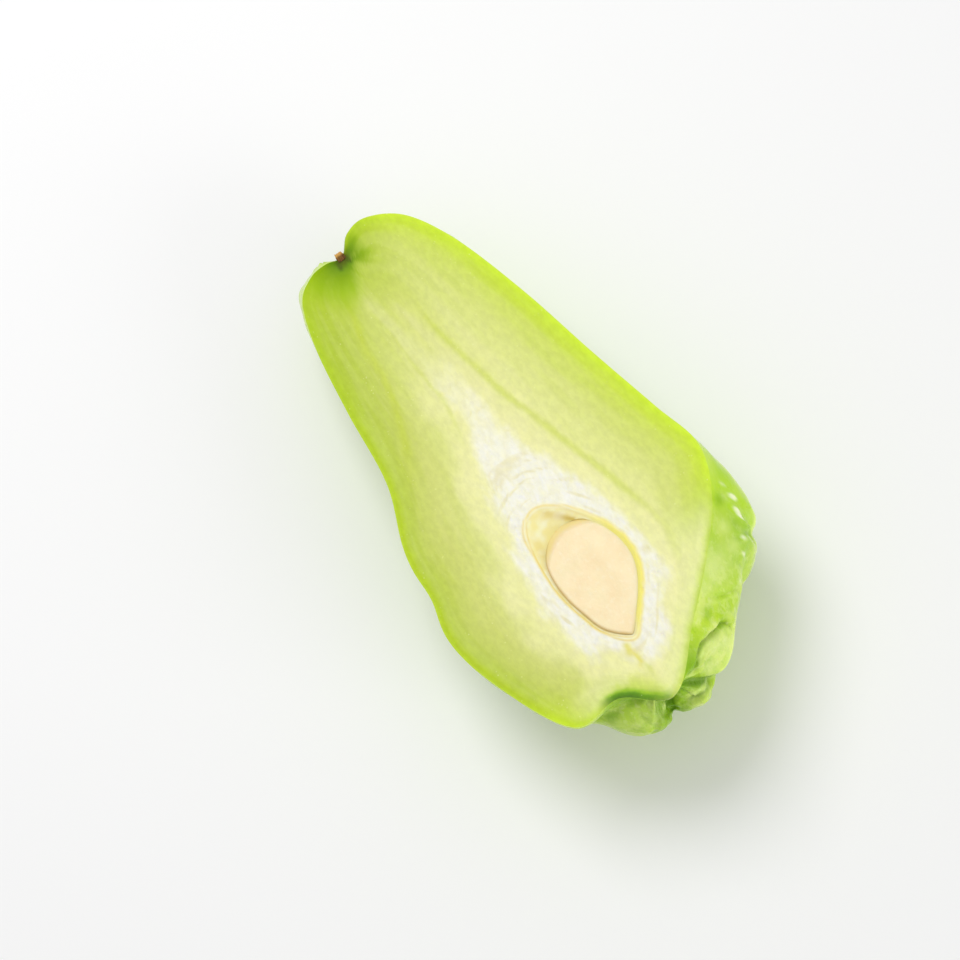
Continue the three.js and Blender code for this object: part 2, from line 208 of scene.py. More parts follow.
# ---- Marks in the flesh, on the cut face (x, y) -----------------------------------------
CORE_OUTLINE = (
    (-58.0, 0.0), (-46.0, -0.5), (-30.0, -0.8), (-17.5, 0.0), (-10.5, -2.4), (-4.1, -4.5),
    (1.6, -6.3), (8.4, -6.9), (15.4, -8.6), (21.0, -10.3), (27.5, -11.3), (33.1, -11.6),
    (38.0, -11.2), (43.3, -9.4), (48.6, -5.2), (53.2, -1.0), (55.4, 3.4), (51.7, 8.4),
    (47.2, 11.4), (41.3, 14.3), (34.6, 15.6), (28.2, 16.2), (22.0, 15.3), (14.8, 13.8),
    (6.3, 11.0), (-3.6, 7.8), (-14.4, 6.4), (-22.3, 5.6), (-30.8, 4.6), (-46.0, 2.4),
)
# Bundles in the flesh, as (width, strength, points along it): pale ones and yellow-green ones.
PALE_STRANDS = (
    (1.8, 0.5, ((-61.8, -2.0), (-55.7, -1.3), (-47.4, -0.1), (-40.3, -0.3), (-32.8, 0.4),
                (-22.0, 1.8))),
    (1.5, 0.6, ((-58.0, 2.2), (-46.0, 4.4), (-38.8, 5.3), (-30.8, 6.4), (-22.3, 7.4),
                (-13.5, 8.8), (-2.0, 11.4), (9.5, 15.0), (20.0, 17.6))),
    (1.6, 0.5, ((-52.0, 10.6), (-40.0, 11.4), (-28.0, 13.2), (-15.0, 15.6), (0.0, 19.8))),
    (1.4, 0.6, ((56.0, 6.0), (52.0, 13.0), (44.0, 18.4), (35.0, 20.8))),
)
GREEN_STRANDS = (
    (1.05, 0.66, ((-56.8, 6.8), (-49.2, 7.4), (-42.1, 7.5), (-36.1, 8.2), (-30.2, 9.0),
                  (-23.4, 10.1), (-16.1, 11.2), (-8.7, 13.2), (-1.0, 14.8), (9.1, 17.2),
                  (22.7, 20.2), (31.4, 21.4), (38.7, 20.2), (46.5, 16.2), (55.2, 8.6))),
    (1.2, 0.6, ((-64.1, -3.4), (-59.1, -5.2), (-54.6, -6.3), (-47.7, -8.1), (-37.3, -9.0),
                (-25.0, -12.6), (-15.4, -17.1), (-1.5, -20.8))),
    (0.9, 0.5, ((47.5, -1.5), (50.5, -1.4), (54.1, -0.6), (58.0, -0.1), (62.5, 0.0))),
    (0.6, 0.5, ((-57.0, -1.9), (-49.8, -1.6), (-44.7, -1.3), (-37.9, -1.4), (-31.2, -1.2),
                (-24.5, -1.0), (-15.0, -2.6), (-6.0, -5.4))),
)
# The middle line of the flesh, which the streaks on both sides follow.
SPINE = ((-66, 0), (-20, 1.5), (10, 2.4), (50, 1.5))
# The yellow tail of the hollow, and dark creases that run from the stem into the flesh.
TAIL = ((49.5, -1.3), (52.0, -0.9), (54.4, -0.7))
STEM_CREASES = (
    ((-70.2, 0.5), (-69.3, 1.0), (-68.3, 1.5)),
    ((-70.1, -1.1), (-69.1, -1.3), (-68.1, -1.5)),
)
# The shaded fold of the lining, which ends at the corner by the seed.
LINING_FOLD = ((12.5, 2.1), (17.7, 6.2))
LINING_CORNER = (17.8, 6.4)


def screen(red, green, blue):
    """An 8-bit screen colour as the linear values a shader takes."""
    values = [c / 255 for c in (red, green, blue)]
    return tuple(v / 12.92 if v <= 0.04045 else ((v + 0.055) / 1.055) ** 2.4 for v in values)


# ---- Settings a user would change ----------------------------------------------------------
def size(name, description, millimetres):
    return FloatProperty(
        name=name, description=description, default=millimetres * MM, min=0, precision=5,
        subtype="DISTANCE", unit="LENGTH",
    )


def colour(name, description, *values):
    return FloatVectorProperty(
        name=name, description=description, default=screen(*values), min=0, max=1,
        subtype="COLOR", size=3,
    )


class ChayoteSkin(bpy.types.PropertyGroup):
    """Sizes and colours of the skin."""

    rings: IntProperty(name="Rings", description="Rings of the skin mesh", default=230, min=40)
    steps: IntProperty(name="Steps", description="Steps round a ring", default=180, min=30)
    lumps: size("Lumps", "Height of the broad lumps in the skin", 0.5)
    wrinkles: size("Wrinkles", "Height of the lengthwise wrinkles near the ends", 0.3)
    crease: size("Crease", "Extra depth of the narrow crease down each furrow", 0.5)
    light: colour("Light green", "Skin on the tops of the lobes", 192, 222, 78)
    middle: colour("Middle green", "Skin over most of the fruit", 150, 196, 48)
    scar: colour("Scar brown", "Corky skin at the two scars", 122, 92, 44)


class ChayoteFlesh(bpy.types.PropertyGroup):
    """Sizes and colours of the cut face."""

    rows: IntProperty(name="Rows", description="Mesh rows from rim to hollow", default=84, min=20)
    sponge: size("Sponge", "Roughness of the white core", 0.16)
    bundle: size("Bundles", "How far the cut bundles stand out", 0.06)
    lining: size("Lining", "Width of the yellow lining round the hollow", 1.2)
    rim: colour("Rim", "Flesh just inside the skin", 206, 236, 40)
    outer: colour("Outer flesh", "Flesh a few millimetres in", 206, 222, 98)
    inner: colour("Inner flesh", "Flesh near the core", 230, 233, 158)
    core: colour("Core", "White spongy core", 248, 247, 236)
    strand: colour("Green bundle", "Yellow-green bundles in the flesh", 196, 211, 56)
    lining_colour: colour("Lining", "Lining of the hollow", 255, 241, 132)
    wall: colour("Hollow wall", "Wall of the hollow under the lining", 250, 237, 166)


class ChayoteSeed(bpy.types.PropertyGroup):
    """Sizes and colours of the seed."""

    proud: size("Proud", "How far the cut seed stands above the flesh", 0.2)
    shoulder: size("Shoulder", "Drop of the round shoulder on the stem side", 0.9)
    face: colour("Face", "Cut seed leaf", 248, 229, 182)
    coat: colour("Coat", "Seed coat seen at the edge", 226, 190, 118)


class ChayoteStem(bpy.types.PropertyGroup):
    """Sizes and colours of the dried stem."""

    fray: size("Fray", "How ragged the fibres are", 0.25)
    bark: colour("Bark", "Dry outside", 78, 52, 6)
    fibre: colour("Fibre", "Orange-brown fibres", 142, 94, 26)


class ChayoteStage(bpy.types.PropertyGroup):
    """Floor, lights and camera."""

    camera_rise: FloatProperty(
        name="Camera rise", description="Angle of the view above the cut face",
        default=math.radians(65), subtype="ANGLE", unit="ROTATION",
    )
    camera_turn: FloatProperty(
        name="Camera turn", description="Turn of the view towards the right side",
        default=math.radians(5), subtype="ANGLE", unit="ROTATION",
    )
    camera_roll: FloatProperty(
        name="Camera roll", description="How far the view is rolled",
        default=math.radians(42.38), subtype="ANGLE", unit="ROTATION",
    )
    distance: size("Camera distance", "From the middle of the cut face", 800)
    key_power: FloatProperty(name="Key light", description="Watts", default=3.8, unit="POWER")
    fill_power: FloatProperty(name="Fill light", description="Watts", default=4.1, unit="POWER")
    sky: FloatProperty(name="Surround", description="Brightness of the white room", default=0.57)
    floor: colour("Floor", "Pale floor", 246, 246, 246)


# ---- The surface of the fruit ------------------------------------------------------------
def ramp(value, start, end):
    """Smooth step from 0 at start to 1 at end."""
    share = np.clip((value - start) / (end - start), 0, 1)
    return share * share * (3 - 2 * share)


def bell(value, width):
    """1 at zero, and near 0 from twice the width on."""
    return np.exp(-((value / width) ** 2))


def curve_point(a, b, c, d, f):
    """Point at share f of the way from b to c, on a smooth curve through all four."""
    square = 2 * a - 5 * b + 4 * c - d
    cube = 3 * b - a - 3 * c + d
    return 0.5 * (2 * b + (c - a) * f + square * f**2 + cube * f**3)


def rib_lines():
    """All ribs, each from scar to scar."""
    lines = [((STEM_SCAR_X, 0), *points, (BLOSSOM_SCAR_X, 0)) for points in RIB_POINTS]
    return np.array(lines, float)


def rib_shares(angle):
    """How much each rib counts at an angle between them, in the last axis."""
    knots = np.array(RIB_ANGLES, float)
    count = len(knots)
    low = np.clip(np.searchsorted(knots, angle, side="right") - 1, 0, count - 2)
    span = knots[low + 1] - knots[low]
    f = (angle - knots[low]) / span
    shares = np.zeros(angle.shape + (count,))
    places = np.indices(angle.shape)

    def add(rib, weight):
        np.add.at(shares, (*places, rib), weight)

    def add_slope(rib, weight):
        before, after = np.maximum(rib - 1, 0), np.minimum(rib + 1, count - 1)
        step = knots[after] - knots[before]
        add(after, weight * span / step)
        add(before, -weight * span / step)

    add(low, 2 * f**3 - 3 * f**2 + 1)
    add(low + 1, 3 * f**2 - 2 * f**3)
    add_slope(low, f**3 - 2 * f**2 + f)
    add_slope(low + 1, f**3 - f**2)
    return shares


def rib_place(station, shares):
    """(x, distance from the axis) before furrows and dents."""
    lines = np.einsum("...k,kns->...ns", shares, rib_lines())
    low = np.clip(np.floor(station).astype(int), 0, LAST - 1)
    f = (station - low)[..., None]

    def at(index):
        inside = np.where(np.abs(index) > LAST, 2 * LAST - index, np.abs(index))
        point = np.take_along_axis(lines, inside[..., None, None].repeat(2, -1), -2)
        point = point[..., 0, :].copy()
        point[..., 1] *= np.where(inside == index, 1, -1)
        return point

    return curve_point(at(low - 1), at(low), at(low + 1), at(low + 2), f)


def furrow_at(station, angle, radius):
    """Depth of the furrows and of the crease down their middle, in millimetres."""
    along = station / LAST
    deepest, crease = np.zeros_like(station), np.zeros_like(station)
    for start, end, depths, width in FURROWS:
        middle = start + (end - start) * along - FURROW_WANDER * np.sin(9 * along + start)
        away = np.radians(np.abs(angle - middle)) * radius
        depth = np.interp(station, FURROW_STATIONS, depths)
        deepest = np.maximum(deepest, depth * np.exp(-((away / width) ** 1.15)))
        crease = np.maximum(crease, ramp(depth, 0.8, 3.2) * bell(away, 0.9))
    clear = ramp(angle, 0, RIM_CLEAR) * ramp(180 - angle, 0, RIM_CLEAR) * ramp(radius, 0, 3.5)
    return deepest * clear, crease * clear


def dents_at(station, angle, dents):
    """Depth of all the dents together, in millimetres."""
    total = np.zeros_like(station)
    for at, middle, depth, length, width in dents:
        away = ((station - at) / length) ** 2 + ((angle - middle) / width) ** 2
        total += depth * np.exp(-away)
    return total


def skin_place(station, angle):
    """Points of the plain skin, and the depth of the furrow and crease at each."""
    shares = rib_shares(angle)
    point = rib_place(station, shares)
    before = rib_place(np.clip(station - 0.01, 0, LAST), shares)
    after = rib_place(np.clip(station + 0.01, 0, LAST), shares)
    along = after - before
    along /= np.linalg.norm(along, axis=-1, keepdims=True)
    radius = np.maximum(point[..., 1], 0)
    furrow, crease = furrow_at(station, angle, radius)
    depth = furrow + dents_at(station, angle, DENTS)
    x = point[..., 0] + depth * along[..., 1]
    radius = np.maximum(radius - depth * along[..., 0], LEAST_RADIUS * radius)
    turn = np.radians(angle)
    place = np.stack([x, radius * np.cos(turn), -radius * np.sin(turn)], -1)
    return place, furrow, crease


def rest_turn():
    """Turn from the fruit's own frame to the rest pose."""
    roll = Matrix.Rotation(math.radians(-REST_ROLL), 3, "X")
    pitch = Matrix.Rotation(math.radians(REST_PITCH), 3, "Y")
    return roll @ pitch


def rest_shift():
    """Shift, in millimetres, that centres the turned fruit over the origin and lowers it."""
    station, angle = np.meshgrid(
        np.linspace(0, LAST, COARSE_RINGS + 1), np.linspace(0, 180, COARSE_STEPS + 1),
        indexing="ij",
    )
    turned = skin_place(station, angle)[0].reshape(-1, 3) @ np.array(rest_turn()).T
    low, high = turned.min(0), turned.max(0)
    return np.array([-(low[0] + high[0]) / 2, -(low[1] + high[1]) / 2, -low[2] - REST_FLAT])


def to_rest(points):
    """Fruit frame in millimetres to the rest pose in metres, flattened where it lies."""
    placed = np.asarray(points) @ np.array(rest_turn()).T + rest_shift()
    placed[:, 2] = np.maximum(placed[:, 2], 0)
    return placed * MM


# ---- Small tools -------------------------------------------------------------------------
def rough(points, scale, seed):
    """Smooth noise from -1 to 1 at each point. Scale is the size of a lump in each direction."""
    spots = np.asarray(points, float) / np.asarray(scale, float) + seed * 17.31
    return np.array([noise.noise(Vector(spot)) for spot in spots]) * 1.6


def cells(points, scale, seed):
    """Distance from each point to the middle of the nearest cell, about 0 to 1."""
    spots = np.asarray(points, float) / scale + seed * 11.7
    return np.array([noise.voronoi(Vector(spot))[0][0] for spot in spots])


def line_distance(points, line, closed=False):
    """Distance in the plane from each point to a line of points."""
    line = np.asarray(line, float)
    if closed:
        line = np.vstack([line, line[:1]])
    starts, ends = line[:-1], line[1:]
    sides = ends - starts
    lengths = np.maximum((sides**2).sum(1), 1e-12)
    nearest = np.empty(len(points))
    for first in range(0, len(points), 2000):
        part = points[first:first + 2000, None, :2] - starts[None]
        share = np.clip((part * sides).sum(-1) / lengths, 0, 1)
        gap = part - share[..., None] * sides
        nearest[first:first + 2000] = np.sqrt((gap**2).sum(-1).min(1))
    return nearest


def along_line(points, line):
    """Share of the way along a line of points at which each point lies."""
    steps = np.linspace(0, 1, len(line))
    gaps = np.stack([np.hypot(*(points[:, :2] - spot).T) for spot in line], 1)
    return steps[gaps.argmin(1)]


def strand_share(spots, strands, ragged):
    """How strongly the bundles show at each spot: each fades in and out along its line."""
    total = np.zeros(len(spots))
    for width, strength, corners in strands:
        line = smooth_line(corners)
        share = along_line(spots, line)
        gap = line_distance(spots, line) + ragged
        fade = ramp(share, 0, 0.16) * (1 - 0.9 * ramp(share, 0.6, 1))
        total = np.maximum(total, strength * fade * bell(gap, width * (0.75 + 0.6 * share)))
    return total


def inside(points, outline):
    """True for points within a closed outline."""
    outline = np.asarray(outline, float)
    x, y = points[:, 0], points[:, 1]
    odd = np.zeros(len(points), bool)
    for (x0, y0), (x1, y1) in zip(outline, np.roll(outline, -1, 0)):
        crosses = (y0 > y) != (y1 > y)
        if y1 != y0:
            odd ^= crosses & (x < (x1 - x0) * (y - y0) / (y1 - y0) + x0)
    return odd


def depth_inside(points, outline):
    """Distance from a closed outline, positive within it."""
    gap = line_distance(points, outline, closed=True)
    return np.where(inside(points, outline), gap, -gap)


def smooth_loop(corners, count=400):
    """A closed curve through the corners, as evenly spaced points."""
    corners = np.asarray(corners, float)
    fine = [
        curve_point(*(corners[(i + k) % len(corners)] for k in (-1, 0, 1, 2)), f)
        for i in range(len(corners)) for f in np.arange(0, 1, 0.04)
    ]
    return spaced(np.array(fine), count, closed=True)


def spaced(line, count, closed=False):
    """The same line with its points evenly spaced."""
    if closed:
        line = np.vstack([line, line[:1]])
    lengths = np.concatenate([[0], np.cumsum(np.linalg.norm(np.diff(line, axis=0), axis=1))])
    wanted = np.linspace(0, lengths[-1], count + 1 if closed else count)
    found = np.stack([np.interp(wanted, lengths, line[:, k]) for k in range(line.shape[1])], 1)
    return found[:-1] if closed else found


def smooth_line(corners, count=60):
    """An open curve through the corners, as evenly spaced points."""
    corners = np.asarray(corners, float)
    ends = np.vstack([2 * corners[0] - corners[1], corners, 2 * corners[-1] - corners[-2]])
    fine = [
        curve_point(*ends[i - 1:i + 3], f)
        for i in range(1, len(ends) - 2) for f in np.arange(0, 1, 0.1)
    ]
    return spaced(np.array([*fine, corners[-1]]), count)


def outline_at(outline, middle, angles):
    """Points of a closed outline seen from its middle at the given angles."""
    outline = np.asarray(outline, float) - middle
    seen = np.arctan2(outline[:, 1], outline[:, 0])
    order = np.argsort(seen)
    reach = np.hypot(outline[:, 0], outline[:, 1])[order]
    seen = seen[order]
    seen = np.concatenate([seen - 2 * np.pi, seen, seen + 2 * np.pi])
    reach = np.interp(angles, seen, np.tile(reach, 3))
    return np.stack([np.cos(angles) * reach, np.sin(angles) * reach], 1) + middle


def fold_marks(skin, rings_at, angles_at):
    """Lift of the folds in millimetres, and at each skin point the painted shade line along each
    fold and the painted highlight on its lip.
    """
    flat = skin.reshape(-1, 3)
    lift, fold_shade_line, lip = np.zeros(len(flat)), np.zeros(len(flat)), np.zeros(len(flat))
    for depth, width, corners in FOLDS:
        line = smooth_line(corners, 80)
        spots = skin_place(line[:, 0], line[:, 1])[0]
        near = np.abs(flat - spots.mean(0)).max(1) < 30
        gaps = np.linalg.norm(flat[near, None] - spots[None], axis=2)
        nearest = gaps.argmin(1)
        gap = gaps[np.arange(len(nearest)), nearest]
        fade = np.sin(np.pi * np.clip((nearest + 4) / 88, 0, 1)) ** 0.5
        side = np.sign(rings_at.ravel()[near] - line[nearest, 0])
        if np.ptp(line[:, 0]) > 0.04 * np.ptp(line[:, 1]):
            side = np.sign(angles_at.ravel()[near] - line[nearest, 1])
        groove = -depth * bell(gap, 1.3 * width)
        swell = 0.7 * depth * bell(gap - 3 * width, 2.4 * width) * (side < 0)
        lift[near] += fade * (groove + swell)
        fold_shade_line[near] = np.maximum(fold_shade_line[near], fade * bell(gap, width) * min(depth / 0.6, 1))
        lit = fade * bell(gap - 2.4 * width, 1.3 * width) * (side > 0)
        lip[near] = np.maximum(lip[near], lit * min(depth / 0.6, 1) ** 0.5)
    return (values.reshape(skin.shape[:2]) for values in (lift, fold_shade_line, lip))


def patches(skin, spots):
    """How strongly painted patches show at each point of the skin."""
    total = np.zeros(skin.shape[:2])
    for station, angle, reach, strength in spots:
        middle = skin_place(np.array([float(station)]), np.array([float(angle)]))[0][0]
        gap = np.linalg.norm(skin - middle, axis=-1)
        total = np.maximum(total, strength * bell(gap, reach))
    return total


def crest_highlight_share(skin):
    """How close each point of the skin is to the ridge lines of the lobes, where the painted
    highlight goes.
    """
    share = np.zeros(skin.shape[:2])
    for corners in (CREST, LOW_CREST):
        line = smooth_line(corners, 90)
        spots = skin_place(line[:, 0], line[:, 1])[0]
        gaps = np.linalg.norm(skin.reshape(-1, 1, 3) - spots[None, ::3], axis=2).min(1)
        share = np.maximum(share, bell(gaps.reshape(share.shape), 1.5))
    return share


def row_faces(rows, last):
    """Faces between closed rows of points, from each row to the next and to a last point."""
    faces = []
    for row, below in zip(rows, rows[1:]):
        faces += zip(row, (*row[1:], row[0]), (*below[1:], below[0]), below)
    row = rows[-1]
    return faces + list(zip(row, (*row[1:], row[0]), [last] * len(row)))


def closed_faces(rows, steps, flip=False):
    """Faces of a closed form made of a first point, rings and a last point; flip turns them."""
    last = 1 + rows * steps
    rings = [range(first, first + steps) for first in range(1, last, steps)]
    faces = row_faces(rings, last)
    faces += zip([0] * steps, (*rings[0][1:], rings[0][0]), rings[0])
    return [(face[0], *reversed(face[1:])) for face in faces] if flip else faces


def make_piece(name, points, faces, materials, slots=None, marks=None, sharp=55):
    """A mesh object in the rest pose, with its vertex marks and finishes."""
    mesh = bpy.data.meshes.new(name)
    mesh.from_pydata(to_rest(points).tolist(), [], faces)
    for material in materials:
        mesh.materials.append(material)
    if slots is not None:
        mesh.polygons.foreach_set("material_index", np.asarray(slots, np.int32))
    place = mesh.attributes.new("fruit_place", "FLOAT_VECTOR", "POINT")
    place.data.foreach_set("vector", np.asarray(points, np.float32).ravel())
    for key, values in (marks or {}).items():
        mark = mesh.attributes.new(key, "FLOAT", "POINT")
        mark.data.foreach_set("value", np.asarray(values, np.float32))
    mesh.polygons.foreach_set("use_smooth", np.ones(len(mesh.polygons), bool))
    if mesh.validate():
        raise ValueError(f"{name} had broken faces")
    mesh.set_sharp_from_angle(angle=math.radians(sharp))
    piece = bpy.data.objects.new(name, mesh)
    bpy.context.scene.collection.objects.link(piece)
    return piece


# ---- Finishes ----------------------------------------------------------------------------
class Finish:
    """A material made of nodes, which short calls add and join."""

    def __init__(self, name):
        self.material = bpy.data.materials.new(name)
        self.material.use_nodes = True
        self.nodes = self.material.node_tree.nodes
        self.links = self.material.node_tree.links
        self.nodes.clear()

    def add(self, kind, values=None, **settings):
        """A node with its settings, and its inputs as values or as outputs of other nodes."""
        node = self.nodes.new("ShaderNode" + kind)
        for key, value in settings.items():
            setattr(node, key, value)
        for key, value in (values or {}).items():
            if isinstance(value, bpy.types.NodeSocket):
                self.links.new(value, node.inputs[key])
            else:
                node.inputs[key].default_value = value
        return node

    def mark(self, name):
        """A mark of the mesh."""
        return self.add("Attribute", attribute_name=name).outputs["Fac"]

    def place(self, stretch=(1, 1, 1)):
        """Place on the fruit in millimetres, times the stretch in each direction."""
        place = self.add("Attribute", attribute_name="fruit_place").outputs["Vector"]
        if stretch == (1, 1, 1):
            return place
        return self.add("Mapping", {"Vector": place, "Scale": stretch}).outputs["Vector"]

    def grain(self, size, detail=2.0, stretch=(1, 1, 1), rough=0.5):
        """Noise from 0 to 1 with lumps of that size in millimetres."""
        values = {"Vector": self.place(stretch), "Scale": 1 / size, "Detail": detail,
                  "Roughness": rough}
        return self.add("TexNoise", values).outputs["Fac"]

    def spots(self, size, stretch=(1, 1, 1)):
        """Distance from the middle of scattered spots."""
        values = {"Vector": self.place(stretch), "Scale": 1 / size}
        return self.add("TexVoronoi", values).outputs["Distance"]

    def math(self, operation, first, second):
        """Arithmetic on two values."""
        return self.add("Math", {0: first, 1: second}, operation=operation).outputs[0]

    def times(self, first, second):
        """Two values multiplied."""
        return self.math("MULTIPLY", first, second)

    def range(self, value, start, end, low=0.0, high=1.0, smooth=True):
        """A value moved from the range start to end into the range low to high."""
        values = {"Value": value, "From Min": start, "From Max": end, "To Min": low,
                  "To Max": high}
        kind = "SMOOTHSTEP" if smooth else "LINEAR"
        return self.add("MapRange", values, interpolation_type=kind).outputs["Result"]

    def blend(self, share, first, second, mode="MIX"):
        """Two colours mixed: the share is how much of the second shows."""
        first, second = (tint if isinstance(tint, bpy.types.NodeSocket) else (*tint, 1)
                         for tint in (first, second))
        node = self.add("Mix", {0: share, 6: first, 7: second}, data_type="RGBA", blend_type=mode)
        return node.outputs[2]

    def paint(self, base, mark, share, tint, start=None, end=None):
        """A colour laid over the base as strongly as a mark, or from one value of it to another."""
        amount = self.mark(mark)
        if start is None:
            amount = self.times(amount, share)
        else:
            amount = self.range(amount, start, end, 0, share)
        return self.blend(amount, base, tint)

    def shades(self, value, stops):
        """A colour ramp: stops are (position, colour)."""
        node = self.add("ValToRGB", {"Fac": value})
        elements = node.color_ramp.elements
        while len(elements) < len(stops):
            elements.new(0.5)
        for element, (position, tint) in zip(elements, stops):
            element.position = position
            element.color = (*tint, 1)
        return node.outputs["Color"]

    def bump(self, height, distance, strength=1.0, over=None):
        """Relief of that height in millimetres, laid over another where one is given."""
        values = {"Height": height, "Distance": distance * MM, "Strength": strength}
        if over is not None:
            values["Normal"] = over
        return self.add("Bump", values).outputs["Normal"]

    def done(self, **values):
        """The material, once its shader has these values."""
        shader = self.add("BsdfPrincipled", {k.replace("_", " "): v for k, v in values.items()})
        output = self.add("OutputMaterial")
        self.links.new(shader.outputs[0], output.inputs["Surface"])
        return self.material


def tone(tint, factor):
    """The same colour, lighter or darker."""
    return tuple(min(value * factor, 1) for value in tint)


# Colours laid over the skin in turn: mark, greatest share, colour and, for some, the values of
# the mark from which and up to which the colour grows.
SKIN_LAYERS = (
    ("shoulder", 0.5, (196, 234, 40)),
    # Deeper green in the furrows and on the puckers: partly the skin's own colour, partly painted
    # shade.
    ("furrow", 0.5, (120, 172, 16), 0.1, 0.9),
    # Painted shade on the skin just under the cut edge at the blossom end.
    ("under_cut_shade", 0.9, (82, 128, 4)),
    ("side_band", 0.6, (140, 186, 16)),
    # Painted shade down the narrow crease of each furrow and along each fold.
    ("crease", 0.75, (84, 134, 6), 0.15, 1),
    # Paler patches: partly the skin's own colour, partly painted light.
    ("pale", 0.85, (218, 234, 140)),
    # Deeper patches: partly the skin's own green, partly painted shade.
    ("deep", 0.85, (126, 176, 2)),
    ("low_end", 0.4, (96, 146, 10)),
    # Painted highlight on the lip beside each fold.
    ("lip", 0.5, (222, 242, 140), 0.2, 1),
    # Painted highlight along the ridges of the lobes.
    ("crest_highlight", 0.85, (234, 252, 142)),
    ("low_lobe", 0.45, (150, 188, 74)),
    # Painted highlight on the strip of skin along the left rim near the stem.
    ("left_rim_highlight", 0.8, (216, 234, 148)),
    # Painted highlights on the small bumps of the lobes.
    ("glints", 0.9, (248, 253, 214), 0.1, 0.9),
)
# Colours of the flesh by its marks, laid on in turn, as (share of the way in, red, green, blue).
# Where a row stops before 1, it ends in the colour of the inner flesh.
FLESH_LAYERS = (
    ("green_rim", ((0, 186, 216, 66), (0.03, 200, 221, 92), (0.08, 200, 219, 106),
                   (0.16, 210, 224, 124), (0.28, 223, 230, 150))),
    ("pale_end", ((0, 190, 216, 84), (0.015, 206, 225, 114), (0.03, 220, 232, 142),
                  (0.063, 234, 239, 168), (0.16, 240, 241, 178))),
    ("left_side", ((0, 182, 212, 44), (0.03, 182, 208, 30), (0.08, 187, 207, 80),
                   (0.16, 193, 207, 94), (0.31, 208, 215, 121), (0.56, 222, 227, 146))),
    # Painted shade: a dark green band along the rim at the lower blossom end.
    ("notched_shade", ((0, 52, 112, 0), (0.03, 84, 148, 0), (0.05, 146, 194, 26),
                 (0.075, 204, 223, 106), (0.15, 226, 232, 140))),
    ("neck", ((0, 174, 206, 30), (0.04, 172, 202, 20), (0.12, 175, 199, 54),
              (0.28, 188, 206, 84), (0.6, 206, 216, 112), (1, 214, 219, 126))),
)


def skin_finish(look):
    """Waxy green skin: mottled, darker in the furrows, with pale specks and corky scars, and with
    painted shade and painted highlights laid on by its marks.
    """
    f = Finish("waxy_green_skin")
    light, middle = tuple(look.light), tuple(look.middle)
    broad = f.grain(22, 3, (0.45, 1, 1))
    mottle = f.grain(5.5, 4, (0.6, 1, 1), 0.6)
    veil = f.math("ADD", f.times(broad, 0.75), f.times(mottle, 0.35))
    # Lighter where the lumps swell out: painted light on their tops, over the skin's own mottling.
    veil = f.math("ADD", veil, f.times(f.mark("swell"), 0.28))
    base = f.shades(f.range(veil, 0.28, 0.86, smooth=False),
                    ((0, tone(middle, 0.72)), (0.35, middle), (0.7, tone(light, 0.92)),
                     (1, tone(light, 1.12))))
    streak = f.grain(1.6, 3, (0.12, 1, 1), 0.6)
    base = f.blend(f.range(streak, 0.45, 0.75, 0, 0.22), base, light)
    # Paler, yellower lobes towards the blossom end: partly the skin's own colour, partly painted
    # light on the strongly lit lobes.
    lobes = f.blend(f.range(f.grain(5, 3, (0.8, 1, 1)), 0.4, 0.62), screen(196, 227, 58),
                    screen(224, 239, 128))
    base = f.blend(f.range(f.mark("blossom"), 0.1, 0.8, 0, 0.9), base, lobes)
    flecks = f.range(f.grain(1.5, 3, (0.7, 1, 1), 0.6), 0.5, 0.64, 0, 0.6)
    base = f.blend(f.times(flecks, f.mark("blossom")), base, screen(236, 247, 160))
    hollows = f.range(f.grain(2.3, 3, (0.7, 1, 1), 0.6), 0.52, 0.36, 0, 0.6)
    base = f.blend(f.times(hollows, f.mark("blossom")), base, screen(160, 206, 20))
    for mark, share, tint, *limits in SKIN_LAYERS:
        base = f.paint(base, mark, share, screen(*tint), *limits)
    speck = f.range(f.spots(2.1), 0.06, 0.16, 0.3, 0)
    base = f.blend(f.times(speck, f.range(f.grain(9), 0.45, 0.6)), base, screen(214, 232, 142))
    under = f.range(f.mark("under_rim"), 2.2, 0.2, 0, 0.55)
    under = f.times(under, f.range(f.mark("green_rim"), 0, 1, 1, 0))
    base = f.blend(under, base, screen(206, 234, 84))
    base = f.paint(base, "scar", 0.95, tuple(look.scar), 0.2, 0.95)
    fine = f.grain(0.9, 3)
    pores = f.range(f.spots(1.3), 0.0, 0.35, 1, 0)
    normal = f.bump(f.grain(3.4, 3, (0.5, 1, 1)), 0.35)
    coarse = f.times(f.grain(1.5, 3, (0.7, 1, 1), 0.6), f.mark("blossom"))
    normal = f.bump(coarse, 0.55, over=normal)
    normal = f.bump(fine, 0.05, over=normal)
    normal = f.bump(pores, 0.03, over=normal)
    shine = f.range(f.grain(7, 3), 0.3, 0.75, 0.26, 0.4)
    shine = f.math("ADD", shine, f.times(f.mark("scar"), 0.4))
    return f.done(
        Base_Color=base, Roughness=shine, Normal=normal, IOR=1.45, Subsurface_Weight=0.25,
        Subsurface_Scale=0.0016, Subsurface_Radius=(0.9, 1.0, 0.3), Coat_Weight=0.25,
        Coat_Roughness=0.1, Coat_IOR=1.35, Specular_IOR_Level=0.35,
        Specular_Tint=(0.8, 1, 0.3, 1),
    )


